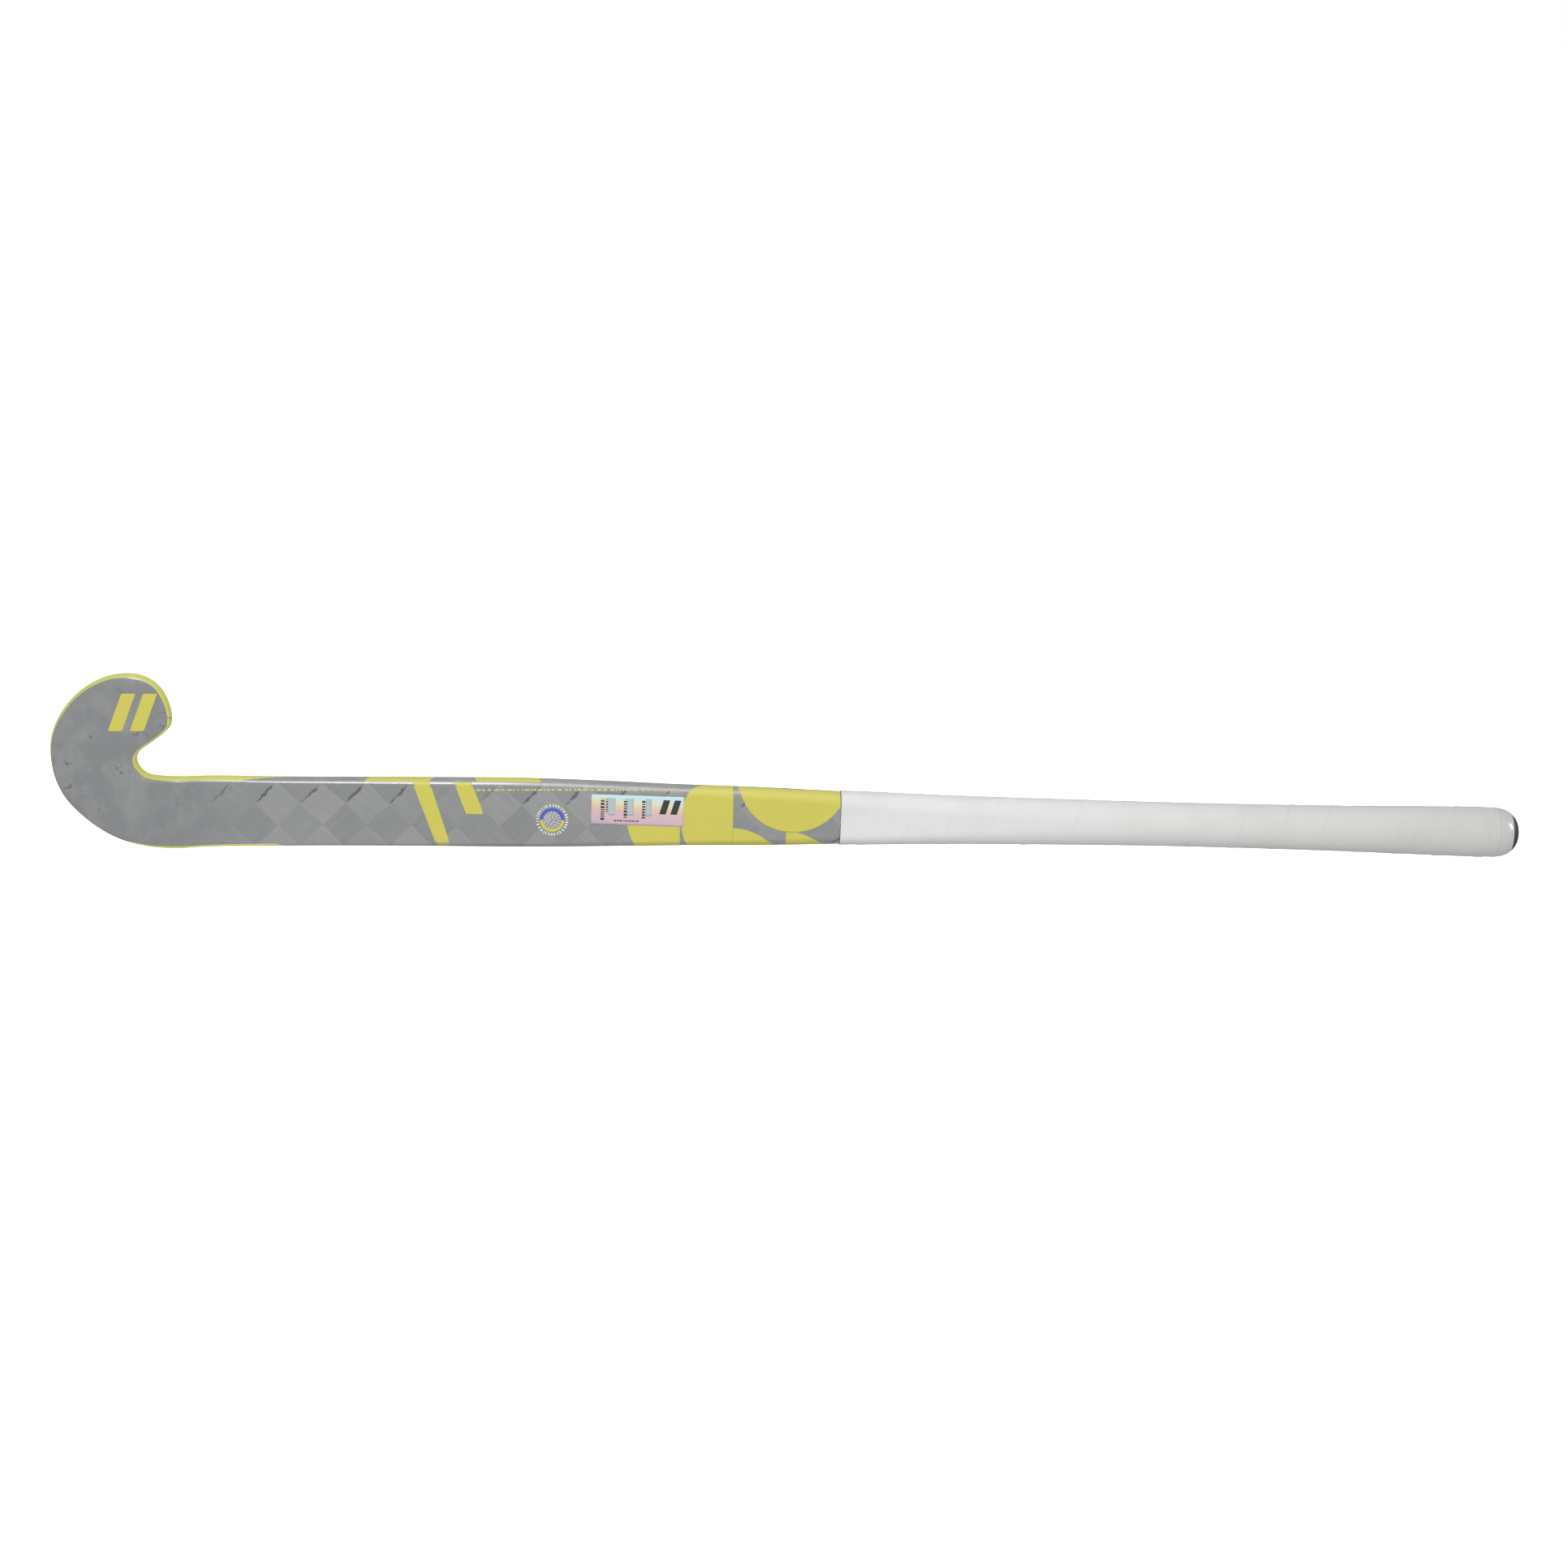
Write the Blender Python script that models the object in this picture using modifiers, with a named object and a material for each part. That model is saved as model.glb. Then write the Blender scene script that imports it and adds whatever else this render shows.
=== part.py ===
"""Field hockey stick: a carbon laminate shell over a foam-cored head and two inner tubes, with a wound
grip, a rubber end cap and a specification label.

The stick is drawn straight and then bowed. The drawing has three coordinates, in metres:
    station  along the shaft, from the head's lowest edge to the butt's tip
    depth    behind the flat face, towards the rounded back
    height   across the shaft from its axis, positive on the toe's side
bend() carries a drawn point into the world, where +X points to the butt, +Y to the back and +Z to the
toe. The origin is on the handle's axis, where the top hand holds it.
"""

import math

import bmesh
import bpy
import numpy as np
from mathutils import Matrix, Vector

MM = 0.001

# Overall sizes.
LENGTH = 0.927  # the head's lowest edge to the butt's tip
HEAD_HEIGHT = 0.110  # heel to toe, across the shaft
HOLD_FROM_BUTT = 0.070  # where the top hand's middle finger lies
BOW = 0.0195  # the face's greatest distance behind the straight line from head to butt
BOW_PLACE = 0.335  # station of the greatest bow
HEAD_STRAIGHT = 0.100  # the hitting face is flat up to this station
BUTT_STRAIGHT = 0.060  # the handle's last stretch is straight

# The laminate's section.
EDGE_DEPTH = 0.011  # where the section is widest, behind the face
BACK_ROUND = 0.020  # how far the back's rounding reaches in from each edge
BACK_POWER = 2.3  # 2 rounds the back as an ellipse, and more squares it
WALL = 0.0018
LEAST_CORNER = 0.0004  # least rounding of the shell's inner corners behind the face

# The grip and what holds its ends.
GRIP_LENGTH = 0.4374  # from the butt's tip to the grip's lower end
GRIP_THICK = 0.0012
TAPE_WIDTH = 0.012
TAPE_THICK = 0.0002
COLLAR_WIDTH = 0.0169
COLLAR_THICK = 0.00035

# The butt's rounded end and the cap in it.
BUTT_ROUND = 0.0143  # length of the rounded end
BUTT_FLAT_RADIUS = 0.0035  # the flat at the cap's middle
CAP_SHOWN = 0.0052  # length of the cap that the collar leaves bare
CAP_LIP = 0.00015  # step from the collar down to the bare cap
CAP_SEAT = 0.0127  # the cap's flange rests on the shell's end, this far from the tip
SPIGOT_LENGTH = 0.016
SPIGOT_WALL = 0.0028
BARB = 0.0004  # how far the spigot's two barbs stand out
BARB_LENGTH = 0.003

# What the shell holds.
CORE_LENGTH = 0.165  # station where the head's foam ends and the tubes begin
LAYER_LENGTH = 0.150  # station where the impact layer ends
LAYER_THICK = 0.0008
LAYER_MARGIN = 0.0015  # the impact layer's edge stays this far inside the shell's wall
TUBE_WALL = 0.0008
TUBE_CORNER = 0.0022  # least rounding of the tubes' corners behind the face
FOAM_LENGTH = 0.170  # foam in the handle's end of each tube

# The specification label.
LABEL_LENGTH = 0.0585
LABEL_TO_GRIP = 0.0998  # from its upper end to the grip's lower end
LABEL_WIDTH = 0.0192
LABEL_HEIGHT = 0.0044  # its middle, across the shaft
LABEL_TURN = math.radians(-0.9)  # it follows the shaft's taper
LABEL_THICK = 0.0002

# Clearances.
GAP = 0.0003
SKIN_GAP = 0.0001  # under thin skins, whose facets match the surface below

# The head's edge in millimetres of station and height, as pairs across the stick: first the side that
# faces along the shaft and the crook, then the outer side. They run from the toe's tip to the shaft,
# and are scaled so that the head is HEAD_HEIGHT high.
DRAWN_HEAD_HEIGHT = 0.110
HEAD_PAIRS = (
    ((72.8, 58.7), (72.8, 58.7)),
    ((72.1, 54.3), (72.1, 64.8)),
    ((69.6, 51.3), (69.5, 72.4)),
    ((65.2, 47.4), (63.5, 80.6)),
    ((59.4, 43.1), (52.0, 86.1)),
    ((55.0, 39.9), (36.0, 85.2)),
    ((52.4, 37.0), (20.5, 77.5)),
    ((51.4, 34.0), (8.2, 64.6)),
    ((51.7, 31.0), (0.8, 48.5)),
    ((53.0, 28.2), (0.6, 29.5)),
    ((55.4, 25.5), (6.3, 12.5)),
    ((58.9, 23.5), (21.0, -4.4)),
    ((63.8, 22.5), (38.5, -16.0)),
    ((71.0, 22.0), (57.0, -21.6)),
    ((79.5, 21.8), (74.5, -23.0)),
)
DRAWN_SHAFT_START = 0.090

# The shaft's sections: share of the way from SHAFT_START to the butt, width, thickness and reach of the
# face's edge rounding in millimetres, and how far the section has turned from flat-faced (0) to oval (1).
SHAFT = (
    (0.000, 44.4, 20.0, 2.0, 0.0),
    (0.060, 43.5, 20.1, 2.4, 0.0),
    (0.150, 43.7, 20.5, 3.4, 0.0),
    (0.250, 43.9, 21.0, 4.6, 0.0),
    (0.300, 42.0, 21.3, 5.0, 0.0),
    (0.350, 39.5, 21.6, 5.2, 0.0),
    (0.420, 37.2, 22.1, 5.5, 0.05),
    (0.490, 33.2, 22.7, 5.5, 0.15),
    (0.560, 30.0, 23.4, 5.5, 0.4),
    (0.630, 28.4, 24.4, 5.5, 0.75),
    (0.730, 26.9, 25.6, 5.5, 1.0),
    (0.800, 27.1, 26.4, 5.5, 1.0),
    (0.870, 28.2, 27.8, 5.5, 1.0),
    (0.930, 30.0, 29.8, 5.5, 1.0),
    (0.970, 30.9, 30.9, 5.5, 1.0),
    (1.000, 30.9, 30.9, 5.5, 1.0),
)

# How finely the surfaces are cut.
HEAD_RINGS = 22
RING_STEP = 0.030
ACROSS = 12
EDGE_SAMPLES = 2400
KNOT_STEP = 1e-5  # for the edge's direction
HEAD_CROWDING = 1.35  # more than 1 crowds the head's rings towards the toe
LAYER_ACROSS = 5
SHARP_ANGLE = math.radians(40)

HEAD_SCALE = HEAD_HEIGHT / DRAWN_HEAD_HEIGHT
SHAFT_START = DRAWN_SHAFT_START * HEAD_SCALE
SEAT = GRIP_THICK + GAP  # the handle is moulded this much smaller, so the grip lies flush
GRIP_START = LENGTH - GRIP_LENGTH
LABEL_START = GRIP_START - LABEL_TO_GRIP - LABEL_LENGTH
GRIP_END = LENGTH - BUTT_ROUND - GAP
COLLAR_LOW = LENGTH - CAP_SHOWN - COLLAR_WIDTH
SHELL_END = LENGTH - CAP_SEAT - GAP
TUBE_END = SHELL_END - SPIGOT_LENGTH - GAP
HOLD = LENGTH - HOLD_FROM_BUTT
BUTT_RADIUS = SHAFT[-1][1] * MM / 2
INSIDE = WALL + GAP


def through(knots, points, where):
    """Values at `where` of the cubic curve that passes through `points` at `knots`."""
    step = np.diff(knots)[:, None]
    chord = np.diff(points, axis=0) / step
    slope = np.concatenate([chord[:1], np.zeros_like(chord[1:]), chord[-1:]])
    slope[1:-1] = (step[1:] * chord[:-1] + step[:-1] * chord[1:]) / (step[1:] + step[:-1])
    i = np.clip(np.searchsorted(knots, where) - 1, 0, len(step) - 1)
    h = step[i]
    t = (where - knots[i])[:, None] / h
    held = (1 + 2 * t) * (1 - t) ** 2 * points[i] + t**2 * (3 - 2 * t) * points[i + 1]
    return held + h * (t * (1 - t) ** 2 * slope[i] + t**2 * (t - 1) * slope[i + 1])


def shaft_stations():
    """Stations of the SHAFT rows."""
    share = np.array(SHAFT)[:, 0]
    return SHAFT_START + share * (LENGTH - SHAFT_START)


def section(station):
    """Width, thickness, edge rounding and ovalness at each station, held level along the head."""
    flat = np.clip(np.ravel(station), SHAFT_START, LENGTH)
    rows = through(shaft_stations(), np.array(SHAFT)[:, 1:], flat)
    width, thick, rounding, oval = (column.reshape(np.shape(station)) for column in rows.T)
    return width * MM, thick * MM, rounding * MM, np.clip(oval, 0, 1)


def edge_pairs():
    """The pairs of edge points from the toe's tip to the butt: (toe's side, heel's side)."""
    head = np.array(HEAD_PAIRS) * MM * HEAD_SCALE
    along, half = shaft_stations(), np.array(SHAFT)[:, 1] * MM / 2
    toe_side, heel_side = np.stack([along, half], 1), np.stack([along, -half], 1)
    return np.concatenate([head[:, 0], toe_side]), np.concatenate([head[:, 1], heel_side])


TOE_SIDE, HEEL_SIDE = edge_pairs()
PAIR_STEPS = [
    np.linalg.norm(np.diff(side, axis=0), axis=1) for side in (TOE_SIDE, HEEL_SIDE)
]
PAIR_KNOTS = np.concatenate([[0.0], np.cumsum((PAIR_STEPS[0] + PAIR_STEPS[1]) / 2)])
EDGE_KNOTS = np.concatenate([-PAIR_KNOTS[:0:-1], PAIR_KNOTS])
EDGE_POINTS = np.concatenate([TOE_SIDE[:0:-1], HEEL_SIDE])


def edge(knot, inset):
    """Points of the stick's edge, moved inwards by inset. Negative knots are on the toe's side of the
    tip, and the stick lies to the left of the way that the knots run."""
    here = through(EDGE_KNOTS, EDGE_POINTS, knot)
    ahead = through(EDGE_KNOTS, EDGE_POINTS, np.minimum(knot + KNOT_STEP, EDGE_KNOTS[-1]))
    behind = through(EDGE_KNOTS, EDGE_POINTS, np.maximum(knot - KNOT_STEP, EDGE_KNOTS[0]))
    along = ahead - behind
    along /= np.linalg.norm(along, axis=1)[:, None]
    return here + inset * np.stack([-along[:, 1], along[:, 0]], 1)


def knot_at(station):
    """Knots of the ribs that cross the shaft at these stations."""
    knots = np.linspace(0, EDGE_KNOTS[-1], EDGE_SAMPLES)
    outer = edge(knots, 0.0)[:, 0]
    past = int(np.argmin(outer))
    return np.interp(station, outer[past:], knots[past:])


def edge_distance(points, inset):
    """Distance of each drawn (station, height) point from the edge that is moved in by inset."""
    knots = np.linspace(EDGE_KNOTS[0], EDGE_KNOTS[-1], EDGE_SAMPLES)
    line = edge(knots, inset)
    start, run = line[:-1], np.diff(line, axis=0)
    away = points[:, None, :] - start[None]
    share = np.clip((away * run).sum(2) / (run * run).sum(1), 0, 1)
    return np.linalg.norm(away - share[..., None] * run, axis=2).min(1)


def depths(station, reach, inset, face, least_corner=LEAST_CORNER):
    """Front and back depths of the surface that lies inset inside the stick's own, at points that are
    reach from its edge. Both are quarter-oval at the edge, where they meet at the widest depth."""
    width, thick, rounding, oval = section(station)
    half = width / 2
    corner = np.maximum(rounding + (half - rounding) * oval - inset, least_corner)
    crown = BACK_ROUND + (half - BACK_ROUND) * oval - inset
    widest = EDGE_DEPTH + (thick / 2 - EDGE_DEPTH) * oval
    power = BACK_POWER + (2 - BACK_POWER) * oval
    front_share = 1 - np.clip(reach / corner, 0, 1)
    back_share = 1 - np.clip(reach / crown, 0, 1)
    front = widest - (widest - face) * np.sqrt(1 - front_share**2)
    back = widest + (thick - inset - widest) * (1 - back_share**power) ** (1 / power)
    return front, back


def ring(knot, inset, face=None):
    """A closed ring of drawn points round the stick: across the front, then back across the back."""
    ends = edge(np.array([-knot, knot]), inset)
    if knot == 0:
        return np.array([[ends[0, 0], EDGE_DEPTH, ends[0, 1]]])
    across = (1 - np.cos(np.pi * np.arange(ACROSS + 1) / ACROSS)) / 2
    plan = ends[0] + across[:, None] * (ends[1] - ends[0])
    reach = edge_distance(plan, inset)
    reach[[0, -1]] = 0
    front, back = depths(plan[:, 0], reach, inset, inset if face is None else face)
    front_row = np.stack([plan[:, 0], front, plan[:, 1]], 1)
    back_row = np.stack([plan[:, 0], back, plan[:, 1]], 1)
    return np.concatenate([front_row, back_row[-2:0:-1]])


def half_ring(station, side, inset, web):
    """A closed D-shaped ring on one side of the web, side being 1 for the toe's side and -1 for the
    heel's. web is the flat's distance from the shaft's axis."""
    outer = edge(np.array([-side * knot_at(station)]), inset)[0, 1]
    share = np.sin(np.pi * np.arange(ACROSS // 2 + 1) / ACROSS)
    height = side * web + share * (outer - side * web)
    reach = np.abs(outer - height)
    along = np.full_like(height, station)
    front, back = depths(along, reach, inset, inset, TUBE_CORNER)
    front_row = np.stack([along, front, height], 1)
    back_row = np.stack([along, back, height], 1)
    return np.concatenate([front_row, back_row[-2::-1]])


def bow(station):
    """How far the face lies behind the line from head to butt, and its slope. The face is a parabola on
    each side of its deepest place, and straight at both ends."""
    ahead = station < BOW_PLACE
    reach = np.where(ahead, BOW_PLACE, LENGTH - BOW_PLACE)
    straight = np.where(ahead, HEAD_STRAIGHT, BUTT_STRAIGHT)
    curved = reach - straight
    bend_rate = BOW / (curved * (curved + 2 * straight))
    away = np.abs(station - BOW_PLACE)
    inside = np.minimum(away, curved)
    depth = BOW - bend_rate * inside * (inside + 2 * (away - inside))
    return depth, np.where(ahead, 2, -2) * bend_rate * inside


def bowed(points):
    """Drawn points (station, depth, height) on the bowed stick, measured from the head's lowest edge."""
    station, depth, height = np.atleast_2d(points).T
    back, slope = bow(station)
    lean = np.arctan(slope)
    return np.stack([station - depth * np.sin(lean), back + depth * np.cos(lean), height], 1)


ORIGIN = bowed([HOLD, float(section(HOLD)[1]) / 2, 0.0])[0]


def bend(points):
    """Drawn points in world coordinates."""
    return bowed(points) - ORIGIN


def material(name, colour, roughness, metallic=0.0):
    """A Principled material."""
    made = bpy.data.materials.new(name)
    made.use_nodes = True
    shader = made.node_tree.nodes["Principled BSDF"]
    shader.inputs["Base Color"].default_value = (*colour, 1.0)
    shader.inputs["Roughness"].default_value = roughness
    shader.inputs["Metallic"].default_value = metallic
    made.diffuse_color = (*colour, 1.0)
    return made


def add_object(name, mesh, finish, collection):
    """Puts a mesh into the collection as an object, with its material."""
    made = bpy.data.objects.new(name, mesh)
    collection.objects.link(made)
    mesh.materials.append(finish)
    return made


def loft(name, rings, loop, finish, collection):
    """A closed solid through drawn rings of equal count. A ring of one point is a pole. With loop, the
    last ring joins the first; otherwise an end that isn't a pole is capped."""
    shape = bmesh.new()
    rows = [[shape.verts.new(point) for point in bend(ring_points)] for ring_points in rings]
    follow = rows[1:] + ([rows[0]] if loop else [])
    for low, high in zip(rows, follow):
        count = max(len(low), len(high))
        for i in range(count):
            corners = [low[i % len(low)], low[(i + 1) % len(low)]]
            corners += [high[(i + 1) % len(high)], high[i % len(high)]]
            shape.faces.new(list(dict.fromkeys(corners)))
    if not loop:
        for end in (rows[0], rows[-1]):
            if len(end) > 2:
                shape.faces.new(end)
    bmesh.ops.recalc_face_normals(shape, faces=shape.faces)
    mesh = bpy.data.meshes.new(name)
    shape.to_mesh(mesh)
    shape.free()
    made = add_object(name, mesh, finish, collection)
    mesh.shade_smooth()
    mesh.set_sharp_from_angle(angle=SHARP_ANGLE)
    return made


def steps(start, end):
    """Stations from start to end, at most RING_STEP apart."""
    return np.linspace(start, end, max(2, math.ceil((end - start) / RING_STEP) + 1))


def shell_stations():
    """Stations of the shell's rings: along the bare shaft, and along the handle."""
    return steps(SHAFT_START, GRIP_START - GAP), steps(GRIP_START - GAP, SHELL_END)


def inner_stations(start, end):
    """Stations from start to end that keep to the shell's rings between them."""
    shared = np.concatenate(shell_stations())
    return np.concatenate([[start], shared[(shared > start) & (shared < end)], [end]])


def head_knots():
    """Knots of the head's rings, closest together at the toe."""
    last = float(knot_at(SHAFT_START))
    return last * np.linspace(0, 1, HEAD_RINGS) ** HEAD_CROWDING


def butt_radius(from_tip):
    """Radius of the butt's rounded end over the collar: a quarter oval round the cap's flat."""
    over = BUTT_RADIUS + SKIN_GAP + COLLAR_THICK
    share = 1 - np.minimum(from_tip / BUTT_ROUND, 1)
    return BUTT_FLAT_RADIUS + (over - BUTT_FLAT_RADIUS) * np.sqrt(1 - share**2)


def make_shell(finish, collection):
    """The laminate: one wall from the toe's tip to the butt, stepped in where the grip lies."""
    head = head_knots()
    lower, handle = (knot_at(along) for along in shell_stations())
    lower = lower[1:]
    turn = knot_at(GRIP_START - GAP - WALL - SEAT)
    outer = [ring(knot, 0.0) for knot in (*head, *lower)]
    outer += [ring(knot, SEAT) for knot in handle]
    inner = [ring(knot, SEAT + WALL) for knot in handle[::-1]]
    inner += [ring(knot, WALL) for knot in (turn, *lower[-2::-1], *head[::-1])]
    return loft("outer_shell", outer + inner, False, finish, collection)


def make_core(finish, collection):
    """Foam that fills the head behind the impact layer."""
    face = INSIDE + LAYER_THICK + GAP
    head = head_knots()
    shaft = knot_at(inner_stations(SHAFT_START, CORE_LENGTH)[1:])
    rings = [ring(knot, INSIDE, face) for knot in (*head, *shaft)]
    return loft("head_core", rings, False, finish, collection)


def make_impact_layer(finish, collection):
    """The sheet between the shell's face and the head's foam."""
    inset = INSIDE + LAYER_MARGIN
    share = np.linspace(0, 1, LAYER_ACROSS)
    rings = []
    shaft = knot_at(inner_stations(SHAFT_START, LAYER_LENGTH)[1:])
    for knot in (*head_knots()[1:], *shaft):
        toe_side, heel_side = edge(np.array([-knot, knot]), inset)
        plan = toe_side + share[:, None] * (heel_side - toe_side)
        front, back = (
            np.stack([plan[:, 0], np.full(len(plan), depth), plan[:, 1]], 1)
            for depth in (INSIDE, INSIDE + LAYER_THICK)
        )
        rings.append(np.concatenate([front, back[::-1]]))
    return loft("impact_layer", rings, False, finish, collection)


def make_tube(name, side, finish, collection):
    """One inner tube, a D in section. Its flat and the other tube's make the shaft's middle web."""
    along = np.unique(inner_stations(CORE_LENGTH + GAP, TUBE_END))
    inset = np.where(along > GRIP_START - RING_STEP, SEAT, 0.0) + INSIDE
    outer = [half_ring(s, side, i, GAP / 2) for s, i in zip(along, inset)]
    inner = [half_ring(s, side, i + TUBE_WALL, GAP / 2 + TUBE_WALL) for s, i in zip(along, inset)]
    return loft(name, outer + inner[::-1], True, finish, collection)


def make_handle_foam(name, side, finish, collection):
    """Foam in the handle's end of one tube."""
    inset = SEAT + INSIDE + TUBE_WALL + GAP
    web = GAP / 2 + TUBE_WALL + GAP
    along = inner_stations(TUBE_END - FOAM_LENGTH, TUBE_END)
    rings = [half_ring(s, side, inset, web) for s in along]
    return loft(name, rings, False, finish, collection)


def make_sleeve(name, along, outer_inset, inner_inset, finish, collection):
    """A sleeve round the handle, through rings at the stations in along."""
    outer = [ring(k, i) for k, i in zip(knot_at(along), outer_inset)]
    inner = [ring(k, i) for k, i in zip(knot_at(along), inner_inset)]
    return loft(name, outer + inner[::-1], True, finish, collection)


def make_grip(finish, collection):
    """The wound grip, as a plain sleeve that lies flush with the shaft."""
    along = np.concatenate([[GRIP_START], steps(GRIP_START + TAPE_WIDTH, COLLAR_LOW), [GRIP_END]])
    outer, inner = np.zeros_like(along), np.full_like(along, GRIP_THICK)
    return make_sleeve("grip_wrap", along, outer, inner, finish, collection)


def make_tape(finish, collection):
    """The finishing tape over the grip's lower end."""
    along = np.array([GRIP_START, GRIP_START + TAPE_WIDTH])
    inner = np.full_like(along, -SKIN_GAP)
    return make_sleeve("finishing_tape", along, inner - TAPE_THICK, inner, finish, collection)


def make_collar(finish, collection):
    """The band over the grip's upper end, drawn in over the cap's shoulder."""
    rounded = np.linspace(CAP_SHOWN, BUTT_ROUND + GAP, 5)
    from_tip = np.concatenate([rounded, [LENGTH - COLLAR_LOW]])
    outer = BUTT_RADIUS - butt_radius(from_tip)
    along = LENGTH - from_tip
    return make_sleeve("butt_collar", along, outer, outer + COLLAR_THICK, finish, collection)


def cap_profile():
    """The cap's half profile as (radius, distance from the tip), from the flat's middle, down the outer
    side and up inside the hollow spigot."""
    bare = np.linspace(0, CAP_SHOWN - GAP, 6)
    seated = np.linspace(CAP_SHOWN - GAP, CAP_SEAT, 4)
    bore = BUTT_RADIUS - SEAT - WALL - GAP
    stem, hollow = bore - BARB, bore - BARB - SPIGOT_WALL
    end = CAP_SEAT + SPIGOT_LENGTH
    profile = [(0.0, 0.0)]
    profile += list(zip(butt_radius(bare) - CAP_LIP * (bare > 0), bare))
    profile += list(zip(butt_radius(seated) - COLLAR_THICK - SKIN_GAP, seated))
    profile.append((stem, CAP_SEAT))
    for low in (CAP_SEAT + BARB_LENGTH, end - BARB_LENGTH - BARB):
        profile += [(stem, low - BARB), (bore, low), (stem, low + BARB_LENGTH - BARB)]
    profile += [(hollow, end), (hollow, CAP_SEAT), (0.0, CAP_SEAT)]
    return profile


def make_cap(finish, collection):
    """The rubber end cap, turned round the handle's axis."""
    mesh = bpy.data.meshes.new("end_cap")
    points = [(radius, 0.0, -depth) for radius, depth in cap_profile()]
    mesh.from_pydata(points, [(i, i + 1) for i in range(len(points) - 1)], [])
    made = add_object("end_cap", mesh, finish, collection)
    turn = made.modifiers.new("turned", "SCREW")
    turn.steps = turn.render_steps = 2 * ACROSS
    turn.use_merge_vertices = True
    turn.merge_threshold = 1e-5
    turn.use_smooth_shade = False
    axis_depth = SHAFT[-1][2] * MM / 2
    tip, root = (Vector(p) for p in bend([[s, axis_depth, 0.0] for s in (LENGTH, SHELL_END)]))
    made.matrix_world = Matrix.Translation(tip) @ (tip - root).to_track_quat("Z", "Y").to_matrix().to_4x4()
    return made


def make_label(finish, collection):
    """The specification label, a thin sheet on the flat face."""
    shape = bmesh.new()
    bmesh.ops.create_grid(shape, x_segments=8, y_segments=2, size=0.5)
    middle = LABEL_START + LABEL_LENGTH / 2
    turned = Matrix.Rotation(LABEL_TURN, 2)
    for vert in shape.verts:
        along, across = turned @ Vector((vert.co.x * LABEL_LENGTH, vert.co.y * LABEL_WIDTH))
        drawn = [middle + along, -SKIN_GAP, LABEL_HEIGHT + across]
        vert.co = Vector(bend(drawn)[0])
    bmesh.ops.recalc_face_normals(shape, faces=shape.faces)
    mesh = bpy.data.meshes.new("spec_label")
    shape.to_mesh(mesh)
    shape.free()
    made = add_object("spec_label", mesh, finish, collection)
    sheet = made.modifiers.new("sheet", "SOLIDIFY")
    sheet.thickness = LABEL_THICK
    sheet.offset = 1.0 if mesh.polygons[0].normal.y < 0 else -1.0
    return made


def main():
    """Clears the scene and builds the stick."""
    for old in list(bpy.data.objects):
        bpy.data.objects.remove(old)
    collection = bpy.data.collections.new("field_hockey_stick")
    bpy.context.scene.collection.children.link(collection)
    laminate = material("painted_laminate", (0.27, 0.28, 0.28), 0.35)
    carbon = material("bare_laminate", (0.03, 0.03, 0.035), 0.45)
    aramid = material("aramid_sheet", (0.65, 0.52, 0.20), 0.7)
    foam = material("core_foam", (0.82, 0.74, 0.52), 0.9)
    wrap = material("grip_tape", (0.74, 0.75, 0.73), 0.55)
    tape = material("edge_tape", (0.80, 0.81, 0.80), 0.4)
    gloss = material("collar_band", (0.60, 0.62, 0.60), 0.25)
    rubber = material("cap_rubber", (0.025, 0.027, 0.026), 0.6)
    paper = material("label_film", (0.78, 0.70, 0.72), 0.3)

    make_shell(laminate, collection)
    make_impact_layer(aramid, collection)
    make_core(foam, collection)
    for side, name in ((1, "toe_side"), (-1, "heel_side")):
        make_tube(f"{name}_tube", side, carbon, collection)
        make_handle_foam(f"{name}_handle_foam", side, foam, collection)
    make_grip(wrap, collection)
    make_tape(tape, collection)
    make_collar(gloss, collection)
    make_cap(rubber, collection)
    make_label(paper, collection)


main()
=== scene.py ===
"""Looks of a field hockey stick: a lacquered carbon laminate with printed graphics, a spiral-wound grip,
a glossy collar, a rubber butt cap and an iridescent specification label.

Every surface is drawn in the stick's own coordinates, in metres: the station along the shaft from the head's
lowest edge, the depth behind the flat face and the height across the shaft. StickForm.bend carries a drawn
point into the frame, where +X points to the butt, +Y to the rounded back and +Z to the toe.
"""

import logging
import math
from collections.abc import Iterator
from contextlib import contextmanager
from dataclasses import dataclass, field
from enum import Enum
from typing import ClassVar

import bmesh
import bpy
import numpy as np
from mathutils import Matrix, Vector


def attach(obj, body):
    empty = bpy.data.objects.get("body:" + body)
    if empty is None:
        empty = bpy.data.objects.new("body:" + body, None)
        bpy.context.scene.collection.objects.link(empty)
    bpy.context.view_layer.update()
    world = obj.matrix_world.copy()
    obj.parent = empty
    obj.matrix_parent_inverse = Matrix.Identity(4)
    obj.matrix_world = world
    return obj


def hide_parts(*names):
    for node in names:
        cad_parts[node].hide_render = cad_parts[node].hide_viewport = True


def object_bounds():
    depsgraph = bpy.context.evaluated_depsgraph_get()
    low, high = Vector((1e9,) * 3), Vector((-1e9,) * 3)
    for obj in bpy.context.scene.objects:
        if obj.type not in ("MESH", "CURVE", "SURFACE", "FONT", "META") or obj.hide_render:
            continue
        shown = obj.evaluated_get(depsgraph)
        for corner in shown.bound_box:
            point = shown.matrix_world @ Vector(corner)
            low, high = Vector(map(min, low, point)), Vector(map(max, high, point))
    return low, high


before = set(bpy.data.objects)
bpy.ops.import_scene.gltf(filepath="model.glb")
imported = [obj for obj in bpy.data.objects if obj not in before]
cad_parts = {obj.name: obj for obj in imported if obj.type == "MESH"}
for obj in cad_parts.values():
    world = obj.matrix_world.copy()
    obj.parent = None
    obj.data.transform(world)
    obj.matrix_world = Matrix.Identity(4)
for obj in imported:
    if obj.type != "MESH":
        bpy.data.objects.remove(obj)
CAD_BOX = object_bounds()
ROOT = "root"
MM = 0.001

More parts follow.
